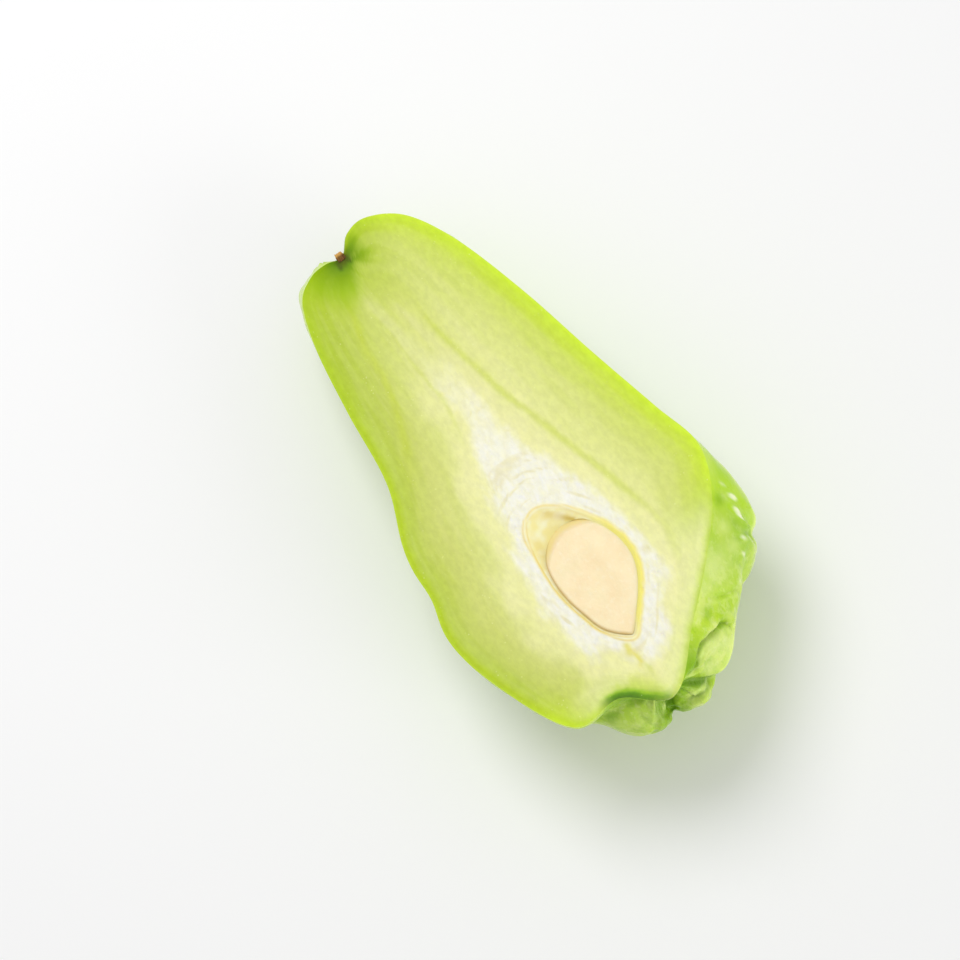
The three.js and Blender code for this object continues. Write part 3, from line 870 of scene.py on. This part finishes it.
def flesh_finish(look):
    """Wet cut flesh: lime at the skin, yellow-green inside, white spongy core."""
    f = Finish("wet_cut_flesh")
    rim, outer, inner = tuple(look.rim), tuple(look.outer), tuple(look.inner)
    wobble = f.times(f.math("SUBTRACT", f.grain(3.2, 3), 0.5), 1.2)
    from_rim = f.range(f.math("ADD", f.mark("from_rim"), wobble), 0, 32, smooth=False)
    base = f.shades(from_rim, (
        (0, screen(204, 236, 60)), (0.018, rim), (0.05, screen(201, 228, 54)),
        (0.094, screen(204, 226, 74)), (0.16, outer), (0.31, screen(216, 224, 132)),
        (0.56, inner), (1, screen(230, 231, 165))))
    for mark, stops in FLESH_LAYERS:
        tints = [(share, screen(*tint)) for share, *tint in stops]
        if stops[-1][0] < 1:
            tints.append((1, inner))
        base = f.blend(f.mark(mark), base, f.shades(from_rim, tints))
    stem_tint = f.shades(f.range(f.mark("stem_gap"), 0, 16, smooth=False), (
        (0, screen(60, 100, 0)), (0.16, screen(94, 140, 0)), (0.32, screen(130, 168, 4)),
        (0.55, screen(154, 190, 12)), (0.8, screen(172, 200, 36)), (1, screen(186, 208, 66))))
    lanes = f.range(f.mark("lanes"), -0.7, 0.7, 0, 1)
    base = f.blend(f.times(lanes, 0.12), base, screen(230, 232, 160))
    base = f.paint(base, "lanes", 0.1, screen(188, 204, 80), 0.1, -0.8)
    base = f.paint(base, "halo", 0.8, screen(241, 239, 180), 0, 1)
    base = f.paint(base, "green_strand", 0.7, tuple(look.strand), 0, 1)
    base = f.paint(base, "pale_strand", 0.6, screen(228, 228, 168), 0, 1)
    fluff = f.grain(1.9, 4, (0.5, 1, 1), 0.6)
    white = f.blend(f.range(fluff, 0.3, 0.7), screen(247, 244, 220), tuple(look.core))
    white = f.blend(f.range(f.mark("arcs"), -0.1, -0.9, 0, 0.8), white, screen(236, 230, 192))
    base = f.blend(f.mark("core"), base, white)
    holes = f.times(f.range(f.spots(1.7, (0.6, 1, 1)), 0.04, 0.2, 1, 0), f.mark("core"))
    base = f.blend(f.times(holes, f.range(f.grain(5), 0.5, 0.65, 0, 0.16)), base,
                   screen(222, 216, 180))
    juice = f.range(f.spots(1.1), 0.05, 0.22, 0.4, 0)
    juice = f.times(juice, f.range(f.grain(2.6, 3), 0.5, 0.66))
    base = f.blend(juice, base, screen(244, 247, 186))
    mottle = f.range(f.grain(1.4, 4, (0.6, 1, 1), 0.6), 0.3, 0.7, 0.955, 1.045)
    mottle = f.add("CombineColor", {0: mottle, 1: mottle, 2: mottle}).outputs[0]
    base = f.blend(1.0, base, mottle, "MULTIPLY")
    base = f.blend(f.mark("stem_end"), base, stem_tint)
    base = f.paint(base, "tail", 0.75, screen(232, 224, 92))
    golden = f.blend(f.mark("sunny"), screen(253, 249, 216), tuple(look.lining_colour))
    base = f.blend(f.mark("lining"), base, golden)
    base = f.blend(f.mark("lining_line"), base, screen(240, 215, 122))
    wall = f.blend(f.range(f.grain(3.2, 1.5), 0.3, 0.68), screen(255, 250, 212),
                   tuple(look.wall))
    base = f.blend(f.mark("wall"), base, wall)
    base = f.blend(f.mark("wall_shade"), base, screen(206, 178, 84))
    # Flesh darker olive right round the stem.
    base = f.paint(base, "dark_by_stem", 0.85, screen(74, 84, 10), 0.1, 1)
    normal = f.bump(f.grain(0.9, 2), 0.02)
    normal = f.bump(f.spots(1.3), 0.03, 0.8, over=normal)
    normal = f.bump(f.grain(1.6, 3, (0.12, 1, 1)), 0.04, over=normal)
    shine = f.range(f.grain(2.4, 3), 0.3, 0.7, 0.3, 0.46)
    shine = f.math("ADD", shine, f.times(f.mark("core"), 0.16))
    return f.done(
        Base_Color=base, Roughness=shine, Normal=normal, IOR=1.36, Subsurface_Weight=0.35,
        Subsurface_Scale=0.0018, Subsurface_Radius=(1.0, 0.95, 0.4), Specular_IOR_Level=0.25,
        Specular_Tint=(1, 1, 0.25, 1), Coat_Weight=0.02, Coat_Roughness=0.12,
    )


def seed_finish(look):
    """Smooth cream seed leaf with a tan coat round its edge."""
    f = Finish("cream_seed_leaf")
    face, coat = tuple(look.face), tuple(look.coat)
    cloud = f.grain(5.5, 3)
    base = f.blend(f.range(cloud, 0.3, 0.7), face, screen(246, 222, 172))
    base = f.blend(f.range(f.grain(1.1, 3), 0.5, 0.75, 0, 0.25), base, screen(255, 243, 218))
    edge = f.math("ADD", f.mark("from_edge"), f.times(f.grain(1.5), 0.3))
    sides = f.blend(f.mark("sunny"), coat, screen(252, 238, 164))
    base = f.blend(f.range(edge, 0.7, 0.2, 0, 0.6), base, sides)
    base = f.paint(base, "shoulder", 0.8, screen(244, 222, 140), 0.1, 1)
    # Painted shadow in the gap along the seed's lower-left edge.
    base = f.blend(f.mark("crease"), base, screen(176, 140, 64))
    normal = f.bump(f.grain(1.3, 3), 0.06)
    normal = f.bump(f.grain(0.35, 2), 0.02, over=normal)
    shine = f.range(f.grain(3.1), 0.3, 0.7, 0.3, 0.42)
    return f.done(
        Base_Color=base, Roughness=shine, Normal=normal, IOR=1.4, Subsurface_Weight=0.3,
        Subsurface_Scale=0.0018, Subsurface_Radius=(1.0, 0.8, 0.5), Coat_Weight=0.1,
        Coat_Roughness=0.2,
    )


def stem_finish(look):
    """Dry fibrous stem."""
    f = Finish("dry_stem_fibre")
    fibres = f.grain(0.28, 3, (0.16, 1, 1), 0.7)
    base = f.blend(f.range(fibres, 0.3, 0.7), tuple(look.bark), tuple(look.fibre))
    base = f.blend(f.range(f.grain(0.9, 2), 0.48, 0.66, 0, 0.6), base, screen(66, 62, 10))
    base = f.paint(base, "tip", 0.85, screen(222, 172, 88), 0.5, 0.85)
    return f.done(Base_Color=base, Roughness=0.85, Normal=f.bump(fibres, 0.12))


# ---- The pieces --------------------------------------------------------------------------
def ring_stations(count):
    """Stations of the rings: closer together at the ends, where the skin folds in."""
    fine = np.linspace(0, LAST, 600)
    middle = skin_place(fine, np.full_like(fine, 75.0))[0]
    steps = np.linalg.norm(np.diff(middle, axis=0), axis=1)
    spot = (fine[1:] + fine[:-1]) / 2
    steps = (0.5 * steps / steps.sum() + 0.5 / len(steps)) * (1 + 1.7 * ramp(spot, 8.3, 9.3))
    measure = np.concatenate([[0], np.cumsum(steps)])
    return np.interp(np.linspace(0, measure[-1], count + 1), measure, fine)


def green_rim(x, y):
    """Share of the greener flesh near the blossom end, on the side of positive Y."""
    return ramp(x, 26, 38) * ramp(y, -6, 4)


def skin_grid(look):
    """Finished skin: a grid of points, with the marks that its colours need."""
    stations = ring_stations(look.rings)
    station, angle = np.meshgrid(stations, np.linspace(0, 180, look.steps + 1), indexing="ij")
    plain, furrow, crease = skin_place(station, angle)
    rows = np.gradient(plain, axis=0)
    columns = np.gradient(plain, axis=1)
    normal = np.cross(rows, columns)
    normal /= np.maximum(np.linalg.norm(normal, axis=-1, keepdims=True), 1e-9)
    outward = np.sign(normal[len(stations) // 2, look.steps // 2] @ np.array([0, 0, -1.0]))
    normal *= outward
    radius = np.hypot(plain[..., 1], plain[..., 2])
    clear = ramp(angle, 0, 7) * ramp(180 - angle, 0, 7) * ramp(radius, 0, 3)

    flat = plain.reshape(-1, 3)
    shape = station.shape
    lumps = rough(flat, (15, 9, 9), seed=1).reshape(shape)
    small = rough(flat, (6, 4, 4), seed=2).reshape(shape)
    lines = np.stack([station * 0.55, angle / 7.5, station * 0], -1).reshape(-1, 3)
    lengthwise = rough(lines, 1, seed=3).reshape(shape)
    across = np.stack([station * 2.6, angle / 16, station * 0], -1).reshape(-1, 3)
    folds = rough(across, 1, seed=4).reshape(shape)
    ends = np.maximum(0.25 * ramp(-station, -3.4, -1.2), ramp(station, 9.2, 11.2))
    near_furrow = ramp(furrow, 0.25, 2.5)

    lift = look.lumps / MM * (0.75 * lumps + 0.3 * small)
    kept = 1 - 0.85 * ramp(angle, 128, 146) * ramp(station, 9.8, 10.6)
    lift += look.wrinkles / MM * lengthwise * (0.25 + ends) * kept * ramp(radius, 1, 7)
    lift += 0.45 * folds * near_furrow
    lift -= look.crease / MM * crease * (0.8 + 0.4 * small)
    lift -= 0.9 * dents_at(station, angle, PUCKERS)
    lift += 0.5 * dents_at(station, angle, GLINTS)
    fold_lift, fold, lip = fold_marks(plain, station, angle)
    lift = (lift + fold_lift) * clear
    skin = plain + normal * lift[..., None]
    skin[1:-1, 1:-1, 2] = np.minimum(skin[1:-1, 1:-1, 2], -0.03)

    to_stem = np.linalg.norm(plain - [STEM_SCAR_X, 0, 0], axis=-1)
    to_blossom = np.linalg.norm(plain - [BLOSSOM_SCAR_X, 0, 0], axis=-1)
    ragged = 0.6 * small
    low_edge = ramp(angle, 162, 172)
    # Several of these marks paint light and shade into the skin colour. The furrow, crease,
    # under-cut band and deep patches lay painted shade; the furrows and deep patches are partly the
    # skin's own colour too. The swell, glints, ridge lines, fold lips, left rim strip near the stem
    # and pale patches lay painted light.
    marks = {
        "furrow": np.clip(furrow / 4.5 * kept + 0.4 * dents_at(station, angle, PUCKERS) * clear,
                          0, 1),
        "crease": np.maximum(crease * kept, 0.8 * fold) * clear,
        "blossom": bell(to_blossom, 34),
        "green_rim": green_rim(plain[..., 0], plain[..., 1]),
        "under_cut_shade": low_edge * ramp(station, 10.6, 11.3),
        "low_lobe": ramp(angle, 132, 146) * ramp(station, 9.8, 10.6),
        "shoulder": ramp(station, 7.2, 7.9) * (1 - ramp(station, 8.95, 9.3))
        * (1 - ramp(angle, 30, 60)),
        "lip": lip * clear,
        "crest_highlight": crest_highlight_share(plain),
        "deep": patches(plain, DEEP_AND_SHADED_PATCHES) * (1 + 0.3 * small),
        "pale": patches(plain, PALE_AND_LIT_PATCHES) * (1 + 0.3 * small),
        "left_rim_highlight": ramp(angle, 148, 170) * (1 - ramp(station, 4.2, 6.0)),
        "low_end": ramp(station, 10.2, 11.2) * ramp(angle, 72, 90) * (1 - ramp(angle, 128, 146)),
        "side_band": (1 - ramp(angle, 5, 22)) * ramp(station, 10.9, 11.4),
        "glints": dents_at(station, angle, GLINTS) * clear,
        "swell": np.clip(0.5 + 0.5 * lumps, 0, 1),
        "scar": np.maximum(bell(to_stem + ragged, 2.6), bell(to_blossom + ragged, 2.4)),
        "under_rim": np.minimum(-plain[..., 2], 20) / np.maximum(radius / 25, 0.4)
        + 9 * low_edge * ramp(station, 10.6, 11.0),
    }
    return skin, marks


def skin_shell(grid):
    """Points and faces of the skin, and the indices of its rim in order round the cut."""
    rings, steps = grid.shape[0] - 1, grid.shape[1] - 1
    points = np.vstack([grid[0, :1], grid[1:-1].reshape(-1, 3), grid[-1, :1]])

    def at(ring, step):
        return 1 + (ring - 1) * (steps + 1) + step

    stem, blossom = 0, len(points) - 1
    faces = []
    for step in range(steps):
        faces.append((stem, at(1, step), at(1, step + 1)))
        faces.append((blossom, at(rings - 1, step + 1), at(rings - 1, step)))
        for ring in range(1, rings - 1):
            faces.append((at(ring, step), at(ring + 1, step), at(ring + 1, step + 1),
                          at(ring, step + 1)))
    rim = [stem, *(at(ring, steps) for ring in range(1, rings)), blossom,
           *(at(ring, 0) for ring in range(rings - 1, 0, -1))]
    return points, faces, rim


def flesh_lanes(spots, from_rim):
    """Streaks that follow the rim and the middle line of the flesh, from about -1 to 1."""
    spine = line_distance(spots, SPINE)
    lane = from_rim / np.maximum(from_rim + spine, 1e-6)
    place = np.c_[spots[:, 0] / 16, lane * 13, np.sign(spots[:, 1] - 1) * 5]
    return rough(place, 1, seed=10) + 0.5 * rough(place * [1.5, 3, 1], 1, seed=11)


def flesh_relief(flat, from_rim, to_hollow, core, strands, sunny, lining, look):
    """Height of the cut face above a flat cut."""
    height = 0.10 * ramp(from_rim, 0, 1.4)
    height += 0.05 * rough(flat, (30, 7, 1), seed=5) * ramp(from_rim, 0, 2)
    sponge = rough(flat, (2.6, 1.4, 1), seed=6)
    pits = 1 - ramp(cells(flat, 2.3, seed=7), 0.06, 0.3)
    height += core * look.sponge / MM * (0.8 * sponge - 1.4 * pits)
    height += look.bundle / MM * strands
    ridge = bell(to_hollow - 0.55 * lining, 0.42 * lining)
    height = height * ramp(to_hollow, 0, 0.5 * lining) + 0.14 * ridge
    height -= (0.2 - 0.16 * sunny) * (1 - ramp(to_hollow, 0, 0.7))
    return height * ramp(from_rim, 0, 0.5)


def cut_face(spots, edge, hollow, look):
    """Height of the cut face at each spot, and the marks that its colours need."""
    x, y = spots.T
    flat = np.c_[spots, np.zeros(len(spots))]
    from_rim = line_distance(spots, edge, closed=True)
    to_hollow = line_distance(spots, hollow, closed=True)
    to_hollow[-len(edge):] = 0
    ragged = rough(flat, (7, 3.2, 1), seed=8)
    fray = rough(flat, (2.2, 1.1, 1), seed=9)

    core_depth = depth_inside(spots, smooth_loop(CORE_OUTLINE, 300))
    core = ramp(core_depth + 1.3 * ragged + 0.7 * fray, -1.6, 2.4)
    core *= 0.08 + 0.92 * ramp(x + 3 * ragged, -40, 2)
    halo = ramp(core_depth + 2 * ragged, -10, 0) * ramp(x, -52, -10)
    turned = np.arctan2(y - HOLLOW_MIDDLE[1], x - HOLLOW_MIDDLE[0])
    ring_place = np.c_[np.cos(turned) * 3, np.sin(turned) * 3, to_hollow / 1.1]
    pale = strand_share(spots, PALE_STRANDS, 0.3 * fray)
    green = strand_share(spots, GREEN_STRANDS, 0.2 * fray)
    lanes = flesh_lanes(spots, from_rim)

    sunny = ramp(y + 0.12 * x, 5, 11) * ramp(x, 12, 26)
    low_side = ramp(-y, 0.5, 4) * ramp(x, 14, 20)
    lining = look.lining / MM * (1 - 0.55 * low_side)
    lining_line = bell(to_hollow - 0.15, 0.3) * (1 - sunny) * 0.8
    lining_line += bell(to_hollow - 0.9 * lining, 0.28) * (0.7 - 0.45 * sunny - 0.2 * low_side)
    height = flesh_relief(flat, from_rim, to_hollow, core, np.maximum(pale, green), sunny,
                          lining, look)

    stem_gap = np.linalg.norm(spots - [STEM_SCAR_X, 0], axis=1)
    stem_reach = 8.5 + 10.5 * ramp(-y, -2.5, 4)
    stem_share = (stem_gap + 1.5 * ragged + 1.4 * lanes) / stem_reach
    creased = np.max([bell(line_distance(spots, line), 0.45) for line in STEM_CREASES], axis=0)
    marks = {
        "green_rim": green_rim(x, y),
        "from_rim": from_rim,
        "core": core * ramp(from_rim, 0, 3),
        "halo": halo * ramp(from_rim, 2, 8),
        "pale_strand": pale * ramp(from_rim, 1, 5),
        "green_strand": green * ramp(from_rim, 0.5, 3),
        "lanes": lanes * ramp(from_rim, 0.5, 4),
        "arcs": rough(ring_place, 1, seed=15) * ramp(to_hollow, 1.2, 2.4),
        "tail": bell(line_distance(spots, TAIL) + 0.4 * fray, 0.9),
        "stem_gap": stem_gap - 4 * creased,
        "stem_end": 0.97 * (1 - ramp(stem_share, 0.3, 1)),
        "neck": (1 - ramp(stem_gap, 2, 72)) * (1 - 0.85 * ramp(y, 6, 15)),
        "left_side": ramp(-y + 1.5 * ragged, 2, 9) * (1 - 0.75 * ramp(x, 44, 54)),
        "pale_end": ramp(x, 31, 42) * ramp(y + 8 * ramp(x, 46, 54), -14, -4),
        # Painted shade: the dark band along the rim at the lower blossom end.
        "notched_shade": ramp(x + 0.8 * fray, 54, 57) * (1 - ramp(y, -2, 2)) * ramp(y, -15, -10),
        "lining": 1 - ramp(to_hollow + 0.2 * fray, 0.5 * lining, 1.5 * lining),
        "lining_line": lining_line,
        "sunny": sunny,
        "wall": (1 - ramp(to_hollow, 0.02, 0.3)) * (1 - sunny),
        "dark_by_stem": bell(stem_gap + 0.5 * fray, 2.5),
    }
    return height, marks


def lining_shade(ring, share, flush):
    """Shade of a row of the lining at that share of the way down to the seed."""
    near_seed = 0.15 * share**2 * (1 - flush)
    low_left = ramp(-ring[:, 1] + 0.05 * ring[:, 0], 2.5, 5) * 0.45
    corner = np.hypot(ring[:, 0] - LINING_CORNER[0], ring[:, 1] - LINING_CORNER[1])
    wedge = bell(line_distance(ring, LINING_FOLD), 0.5 + 0.12 * corner)
    wedge *= 0.95 - 0.6 * ramp(corner, 0.4, 5)
    return np.maximum.reduce([near_seed, low_left * share, wedge])


def hollow_bowl(brink, seen, flush):
    """Points and shade inside the hollow: a lining down to the seed, then a bowl under it."""
    hub = np.array(HOLLOW_MIDDLE)
    seed_side = outline_at(smooth_loop(SEED_EDGE), hub, seen)
    gap = np.linalg.norm(brink[:, :2] - seed_side, axis=1)
    ledge = 0.05 - 0.04 * flush + (0.14 - 0.09 * flush * (gap < 0.6)) * gap
    rows, shades = [], []
    for row in range(1, LEDGE_ROWS + 1):
        share = row / LEDGE_ROWS
        ring = brink[:, :2] + (seed_side - brink[:, :2]) * share
        wall = np.c_[ring, brink[:, 2] - ledge * (1 - (1 - share) ** 1.6)]
        lumps = rough(wall, (1.8, 1.8, 1.8), seed=12)
        wall[:, 2] += 0.10 * lumps * ramp(gap, 0.5, 3) * (1 - share)
        rows.append(wall)
        shades.append(lining_shade(ring, share, flush))
    for row in range(1, BOWL_ROWS):
        turn = row / BOWL_ROWS * math.pi / 2
        drop = brink[:, 2] - ledge - (HOLLOW_DEPTH - BOWL_ROUNDING) * math.sin(turn)
        rows.append(np.c_[hub + (seed_side - hub) * math.cos(turn), drop])
        shades.append(np.ones(len(brink)))
    return np.vstack([*rows, [[*hub, -HOLLOW_DEPTH]]]), np.concatenate([*shades, [1.0]])


class CHAYOTE_OT_fruit_half(bpy.types.Operator):
    """Builds the half fruit: skin, cut flesh and the hollow for the seed"""

    bl_idname = "chayote.fruit_half"
    bl_label = "Fruit half"
    bl_options = {"REGISTER", "UNDO"}

    def execute(self, context):
        skin_look, look = context.scene.chayote_skin, context.scene.chayote_flesh
        grid, skin_marks = skin_grid(skin_look)
        skin, faces, rim = skin_shell(grid)
        slots = [0] * len(faces)

        # Rows of spots on the cut face, from the rim to the hollow and closer at both.
        edge = skin[rim, :2]
        hub = np.array(HOLLOW_MIDDLE)
        seen = np.arctan2(edge[:, 1] - hub[1], edge[:, 0] - hub[0])
        hollow = smooth_loop(HOLLOW_EDGE)
        inner = outline_at(hollow, hub, seen)
        shares = np.linspace(0, 1, look.rows + 1)[1:]
        shares = 0.55 * shares + 0.45 * ramp(shares, 0, 1)
        spots = (edge[None] + (inner - edge)[None] * shares[:, None, None]).reshape(-1, 2)
        height, face_marks = cut_face(spots, edge, hollow, look)
        face = np.c_[spots, height]
        flush = face_marks["sunny"][-len(rim):]
        bowl, shade = hollow_bowl(face[-len(rim):], seen, flush)

        points = np.vstack([skin, face, bowl])
        last = len(points) - 1
        rows = [range(first, first + len(rim)) for first in range(len(skin), last, len(rim))]
        faces += row_faces([rim, *rows], last)
        slots += [1] * (len(faces) - len(slots))

        flush = np.resize(flush, len(bowl))
        bowl_marks = {"from_rim": 20.0, "lining": 1.0, "sunny": flush, "wall": 1 - flush,
                      "wall_shade": shade}
        marks = {}
        for key in {**skin_marks, **face_marks, **bowl_marks}:
            values = skin_marks.get(key, np.zeros(grid.shape[:2]))
            marks[key] = np.concatenate([
                values[0, :1], values[1:-1].ravel(), values[-1, :1],
                face_marks.get(key, np.zeros(len(face))),
                np.broadcast_to(bowl_marks.get(key, 0.0), len(bowl)),
            ])
        # These colours of the flesh begin at the skin's rim, not a row inside it.
        for key in ("notched_shade", "neck", "left_side", "pale_end", "stem_end", "stem_gap"):
            marks[key][rim] = face_marks[key][:len(rim)]
        piece = make_piece(
            "half_fruit", points, faces, (skin_finish(skin_look), flesh_finish(look)),
            slots, marks,
        )
        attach(piece, "root")
        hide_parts("fruit_half")
        return {"FINISHED"}


class CHAYOTE_OT_seed_half(bpy.types.Operator):
    """Builds the cut seed that lies in the hollow"""

    bl_idname = "chayote.seed_half"
    bl_label = "Seed half"
    bl_options = {"REGISTER", "UNDO"}

    def execute(self, context):
        look = context.scene.chayote_seed
        steps, top_rows, bowl_rows = 200, 46, 16
        outline = smooth_loop(SEED_EDGE, steps)
        middle = np.array(SEED_MIDDLE)
        rows = [middle + (outline - middle) * share
                for share in np.linspace(0, 1, top_rows + 1)[1:] ** 0.8]
        spots = np.vstack(rows)
        from_edge = line_distance(spots, outline, closed=True)
        from_edge[-steps:] = 0
        away = spots - middle
        stemward = ramp(-away[:, 0] - 0.15 * away[:, 1], 9.5, 14)
        width = 0.7 + 2.6 * stemward
        sunny = ramp(away[:, 1] + 0.2 * away[:, 0], 0.5, 4)
        edge_drop = 0.24 - 0.17 * sunny
        drop = edge_drop + (look.shoulder / MM - edge_drop) * stemward
        flat = np.c_[spots, np.zeros(len(spots))]
        proud = look.proud / MM * (1 - 0.75 * sunny * (1 - ramp(from_edge, 0, 4)))
        height = proud - drop * (1 - np.clip(from_edge / width, 0, 1)) ** 2
        height += 0.06 * rough(flat, (6, 5, 1), seed=13) * ramp(from_edge, 0, 2)
        points = [np.array([[*middle, look.proud / MM]]), np.c_[spots, height]]
        rim = points[1][-steps:]
        for row in range(1, bowl_rows):
            turn = row / bowl_rows * math.pi / 2
            ring = middle + (outline - middle) * math.cos(turn)
            points.append(np.c_[ring, rim[:, 2] * (1 - row / bowl_rows)
                                - SEED_DEPTH * math.sin(turn)])
        points.append(np.array([[*middle, -SEED_DEPTH]]))
        points = np.vstack(points)
        faces = closed_faces(top_rows + bowl_rows - 1, steps)
        below = len(points) - 1 - len(spots)
        # A painted shadow line along the lower-left edge, where the seed meets the lining.
        lower_left = bell(from_edge, 0.3) * ramp(-away[:, 1] + 0.1 * away[:, 0], 1.5, 4)
        marks = {
            "from_edge": np.concatenate([[10], from_edge, np.zeros(below)]),
            "shoulder": np.concatenate([[0], stemward * (1 - ramp(from_edge, 0.4, 2.8)),
                                        np.zeros(below)]),
            "crease": np.concatenate([[0], 0.4 * lower_left, np.zeros(below)]),
            "sunny": np.concatenate([[0], sunny, np.resize(sunny[-steps:], below)]),
        }
        piece = make_piece("cut_seed", points, faces, (seed_finish(look),), marks=marks)
        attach(piece, "root")
        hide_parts("seed_half")
        return {"FINISHED"}


class CHAYOTE_OT_stem_stub(bpy.types.Operator):
    """Builds the dried end of the stem in its notch"""

    bl_idname = "chayote.stem_stub"
    bl_label = "Stem stub"
    bl_options = {"REGISTER", "UNDO"}

    def execute(self, context):
        look = context.scene.chayote_stem
        rows, steps = 40, 44
        inner, outer = STEM_SCAR_X + STUB_IN, STEM_SCAR_X - STUB_OUT
        turn = np.linspace(0, 2 * np.pi, steps, endpoint=False)
        points = []
        for row in range(rows):
            share = row / (rows - 1)
            x = inner + (outer - inner) * share
            radius = STUB_RADIUS + (STUB_TIP_RADIUS - STUB_RADIUS) * ramp(share, 0.4, 1)
            radius += 0.1 * bell(share - 0.6, 0.12)
            spots = np.c_[np.full(steps, x * 0.25), np.cos(turn) * 2, np.sin(turn) * 2]
            fray = look.fray / MM * rough(spots, 0.5, seed=14)
            reach = (0.85 * radius + fray * (0.3 + 0.5 * share)) * ramp(share, -0.02, 0.06)
            y, z = reach * np.cos(turn), reach * np.sin(turn)
            top = 0.18 + 0.5 * fray
            z = np.where(z > 0, np.minimum(z, top), z)
            points.append(np.c_[np.full(steps, x) - 0.5 * fray * share**4, y, z])
        points = np.vstack([[[inner, 0, -0.1]], *points, [[outer + 0.25, 0, -0.5]]])

        faces = closed_faces(rows, steps, flip=True)
        tip = np.concatenate([[0], np.repeat(np.linspace(0, 1, rows), steps), [1]])
        piece = make_piece("dry_stem", points, faces, (stem_finish(look),), marks={"tip": tip})
        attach(piece, "root")
        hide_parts("stem_stub")
        return {"FINISHED"}


def add_light(name, at, aim, across, power):
    """A round lamp of that diameter, turned to what it lights."""
    lamp = bpy.data.lights.new(name, "AREA")
    lamp.shape = "DISK"
    lamp.size = across
    lamp.energy = power
    light = bpy.data.objects.new(name, lamp)
    light.location = at
    light.rotation_euler = (Vector(aim) - Vector(at)).to_track_quat("-Z", "Y").to_euler()
    bpy.context.scene.collection.objects.link(light)


class CHAYOTE_OT_stage(bpy.types.Operator):
    """Lays the pale floor and sets the lights and the camera"""

    bl_idname = "chayote.stage"
    bl_label = "Stage"
    bl_options = {"REGISTER", "UNDO"}

    def execute(self, context):
        look, scene = context.scene.chayote_stage, context.scene
        mesh = bpy.data.meshes.new("pale_floor")
        corners = [(x * FLOOR_REACH, y * FLOOR_REACH, 0)
                   for x, y in ((-1, -1), (1, -1), (1, 1), (-1, 1))]
        mesh.from_pydata(corners, [], [(0, 1, 2, 3)])
        paint = Finish("pale_floor")
        mesh.materials.append(paint.done(Base_Color=(*look.floor, 1), Roughness=0.55))
        floor = bpy.data.objects.new("pale_floor", mesh)
        scene.collection.objects.link(floor)

        world = bpy.data.worlds.new("white_room")
        world.use_nodes = True
        world.node_tree.nodes["Background"].inputs["Color"].default_value = (1, 1, 1, 1)
        world.node_tree.nodes["Background"].inputs["Strength"].default_value = look.sky
        scene.world = world

        # The camera's three directions, first against the cut face and then in the rest pose.
        rise, turn, roll = look.camera_rise, look.camera_turn, look.camera_roll
        back = Vector((math.cos(rise) * math.cos(turn), math.cos(rise) * math.sin(turn),
                       math.sin(rise)))
        right = Vector((-math.sin(turn), math.cos(turn), 0))
        up = back.cross(right)
        right, up = (right * math.cos(roll) - up * math.sin(roll),
                     right * math.sin(roll) + up * math.cos(roll))
        pose = rest_turn()
        back, right, up = pose @ back, pose @ right, pose @ up
        cut_origin = Vector(rest_shift()) * MM
        pixel = SENSOR / LENS * look.distance / VIEW_PIXELS
        target = cut_origin - right * (AIM_LEFT_PIXELS * pixel) - up * (AIM_DOWN_PIXELS * pixel)
        camera = bpy.data.cameras.new("camera")
        camera.lens = LENS
        camera.sensor_width = SENSOR
        viewer = bpy.data.objects.new("camera", camera)
        turned = Matrix((right, up, back)).transposed().to_4x4()
        viewer.matrix_world = Matrix.Translation(target + back * look.distance) @ turned
        scene.collection.objects.link(viewer)
        scene.camera = viewer

        for name, (direction, gap, across), power in (
                ("key_light", KEY_PLACE, look.key_power),
                ("fill_light", FILL_PLACE, look.fill_power)):
            aside, above, behind = direction
            towards = (right * aside + up * above + back * behind).normalized()
            add_light(name, target + towards * gap, target, across, power)
        scene.view_settings.view_transform = "Standard"
        return {"FINISHED"}


class CHAYOTE_PT_panel(bpy.types.Panel):
    """Sizes, colours and buttons for the half chayote"""

    bl_label = "Chayote Half"
    bl_idname = "CHAYOTE_PT_panel"
    bl_space_type = "VIEW_3D"
    bl_region_type = "UI"
    bl_category = "Chayote"

    def draw(self, context):
        for title, group, _ in GROUPS:
            box = self.layout.box()
            box.label(text=title)
            settings = getattr(context.scene, group)
            for key in settings.__annotations__:
                box.prop(settings, key)
        for operator in OPERATORS:
            self.layout.operator(operator.bl_idname)


GROUPS = (
    ("Skin", "chayote_skin", ChayoteSkin), ("Flesh", "chayote_flesh", ChayoteFlesh),
    ("Seed", "chayote_seed", ChayoteSeed), ("Stem", "chayote_stem", ChayoteStem),
    ("Stage", "chayote_stage", ChayoteStage),
)
OPERATORS = (
    CHAYOTE_OT_fruit_half, CHAYOTE_OT_seed_half, CHAYOTE_OT_stem_stub, CHAYOTE_OT_stage,
)


def register():
    for _, group, settings in GROUPS:
        bpy.utils.register_class(settings)
        setattr(bpy.types.Scene, group, PointerProperty(type=settings))
    for made in (*OPERATORS, CHAYOTE_PT_panel):
        bpy.utils.register_class(made)


def unregister():
    for made in reversed((*OPERATORS, CHAYOTE_PT_panel)):
        bpy.utils.unregister_class(made)
    for _, group, settings in reversed(GROUPS):
        delattr(bpy.types.Scene, group)
        bpy.utils.unregister_class(settings)


def main():
    register()
    bpy.ops.chayote.fruit_half()
    bpy.ops.chayote.seed_half()
    bpy.ops.chayote.stem_stub()
    bpy.ops.chayote.stage()


if __name__ == "__main__":
    main()
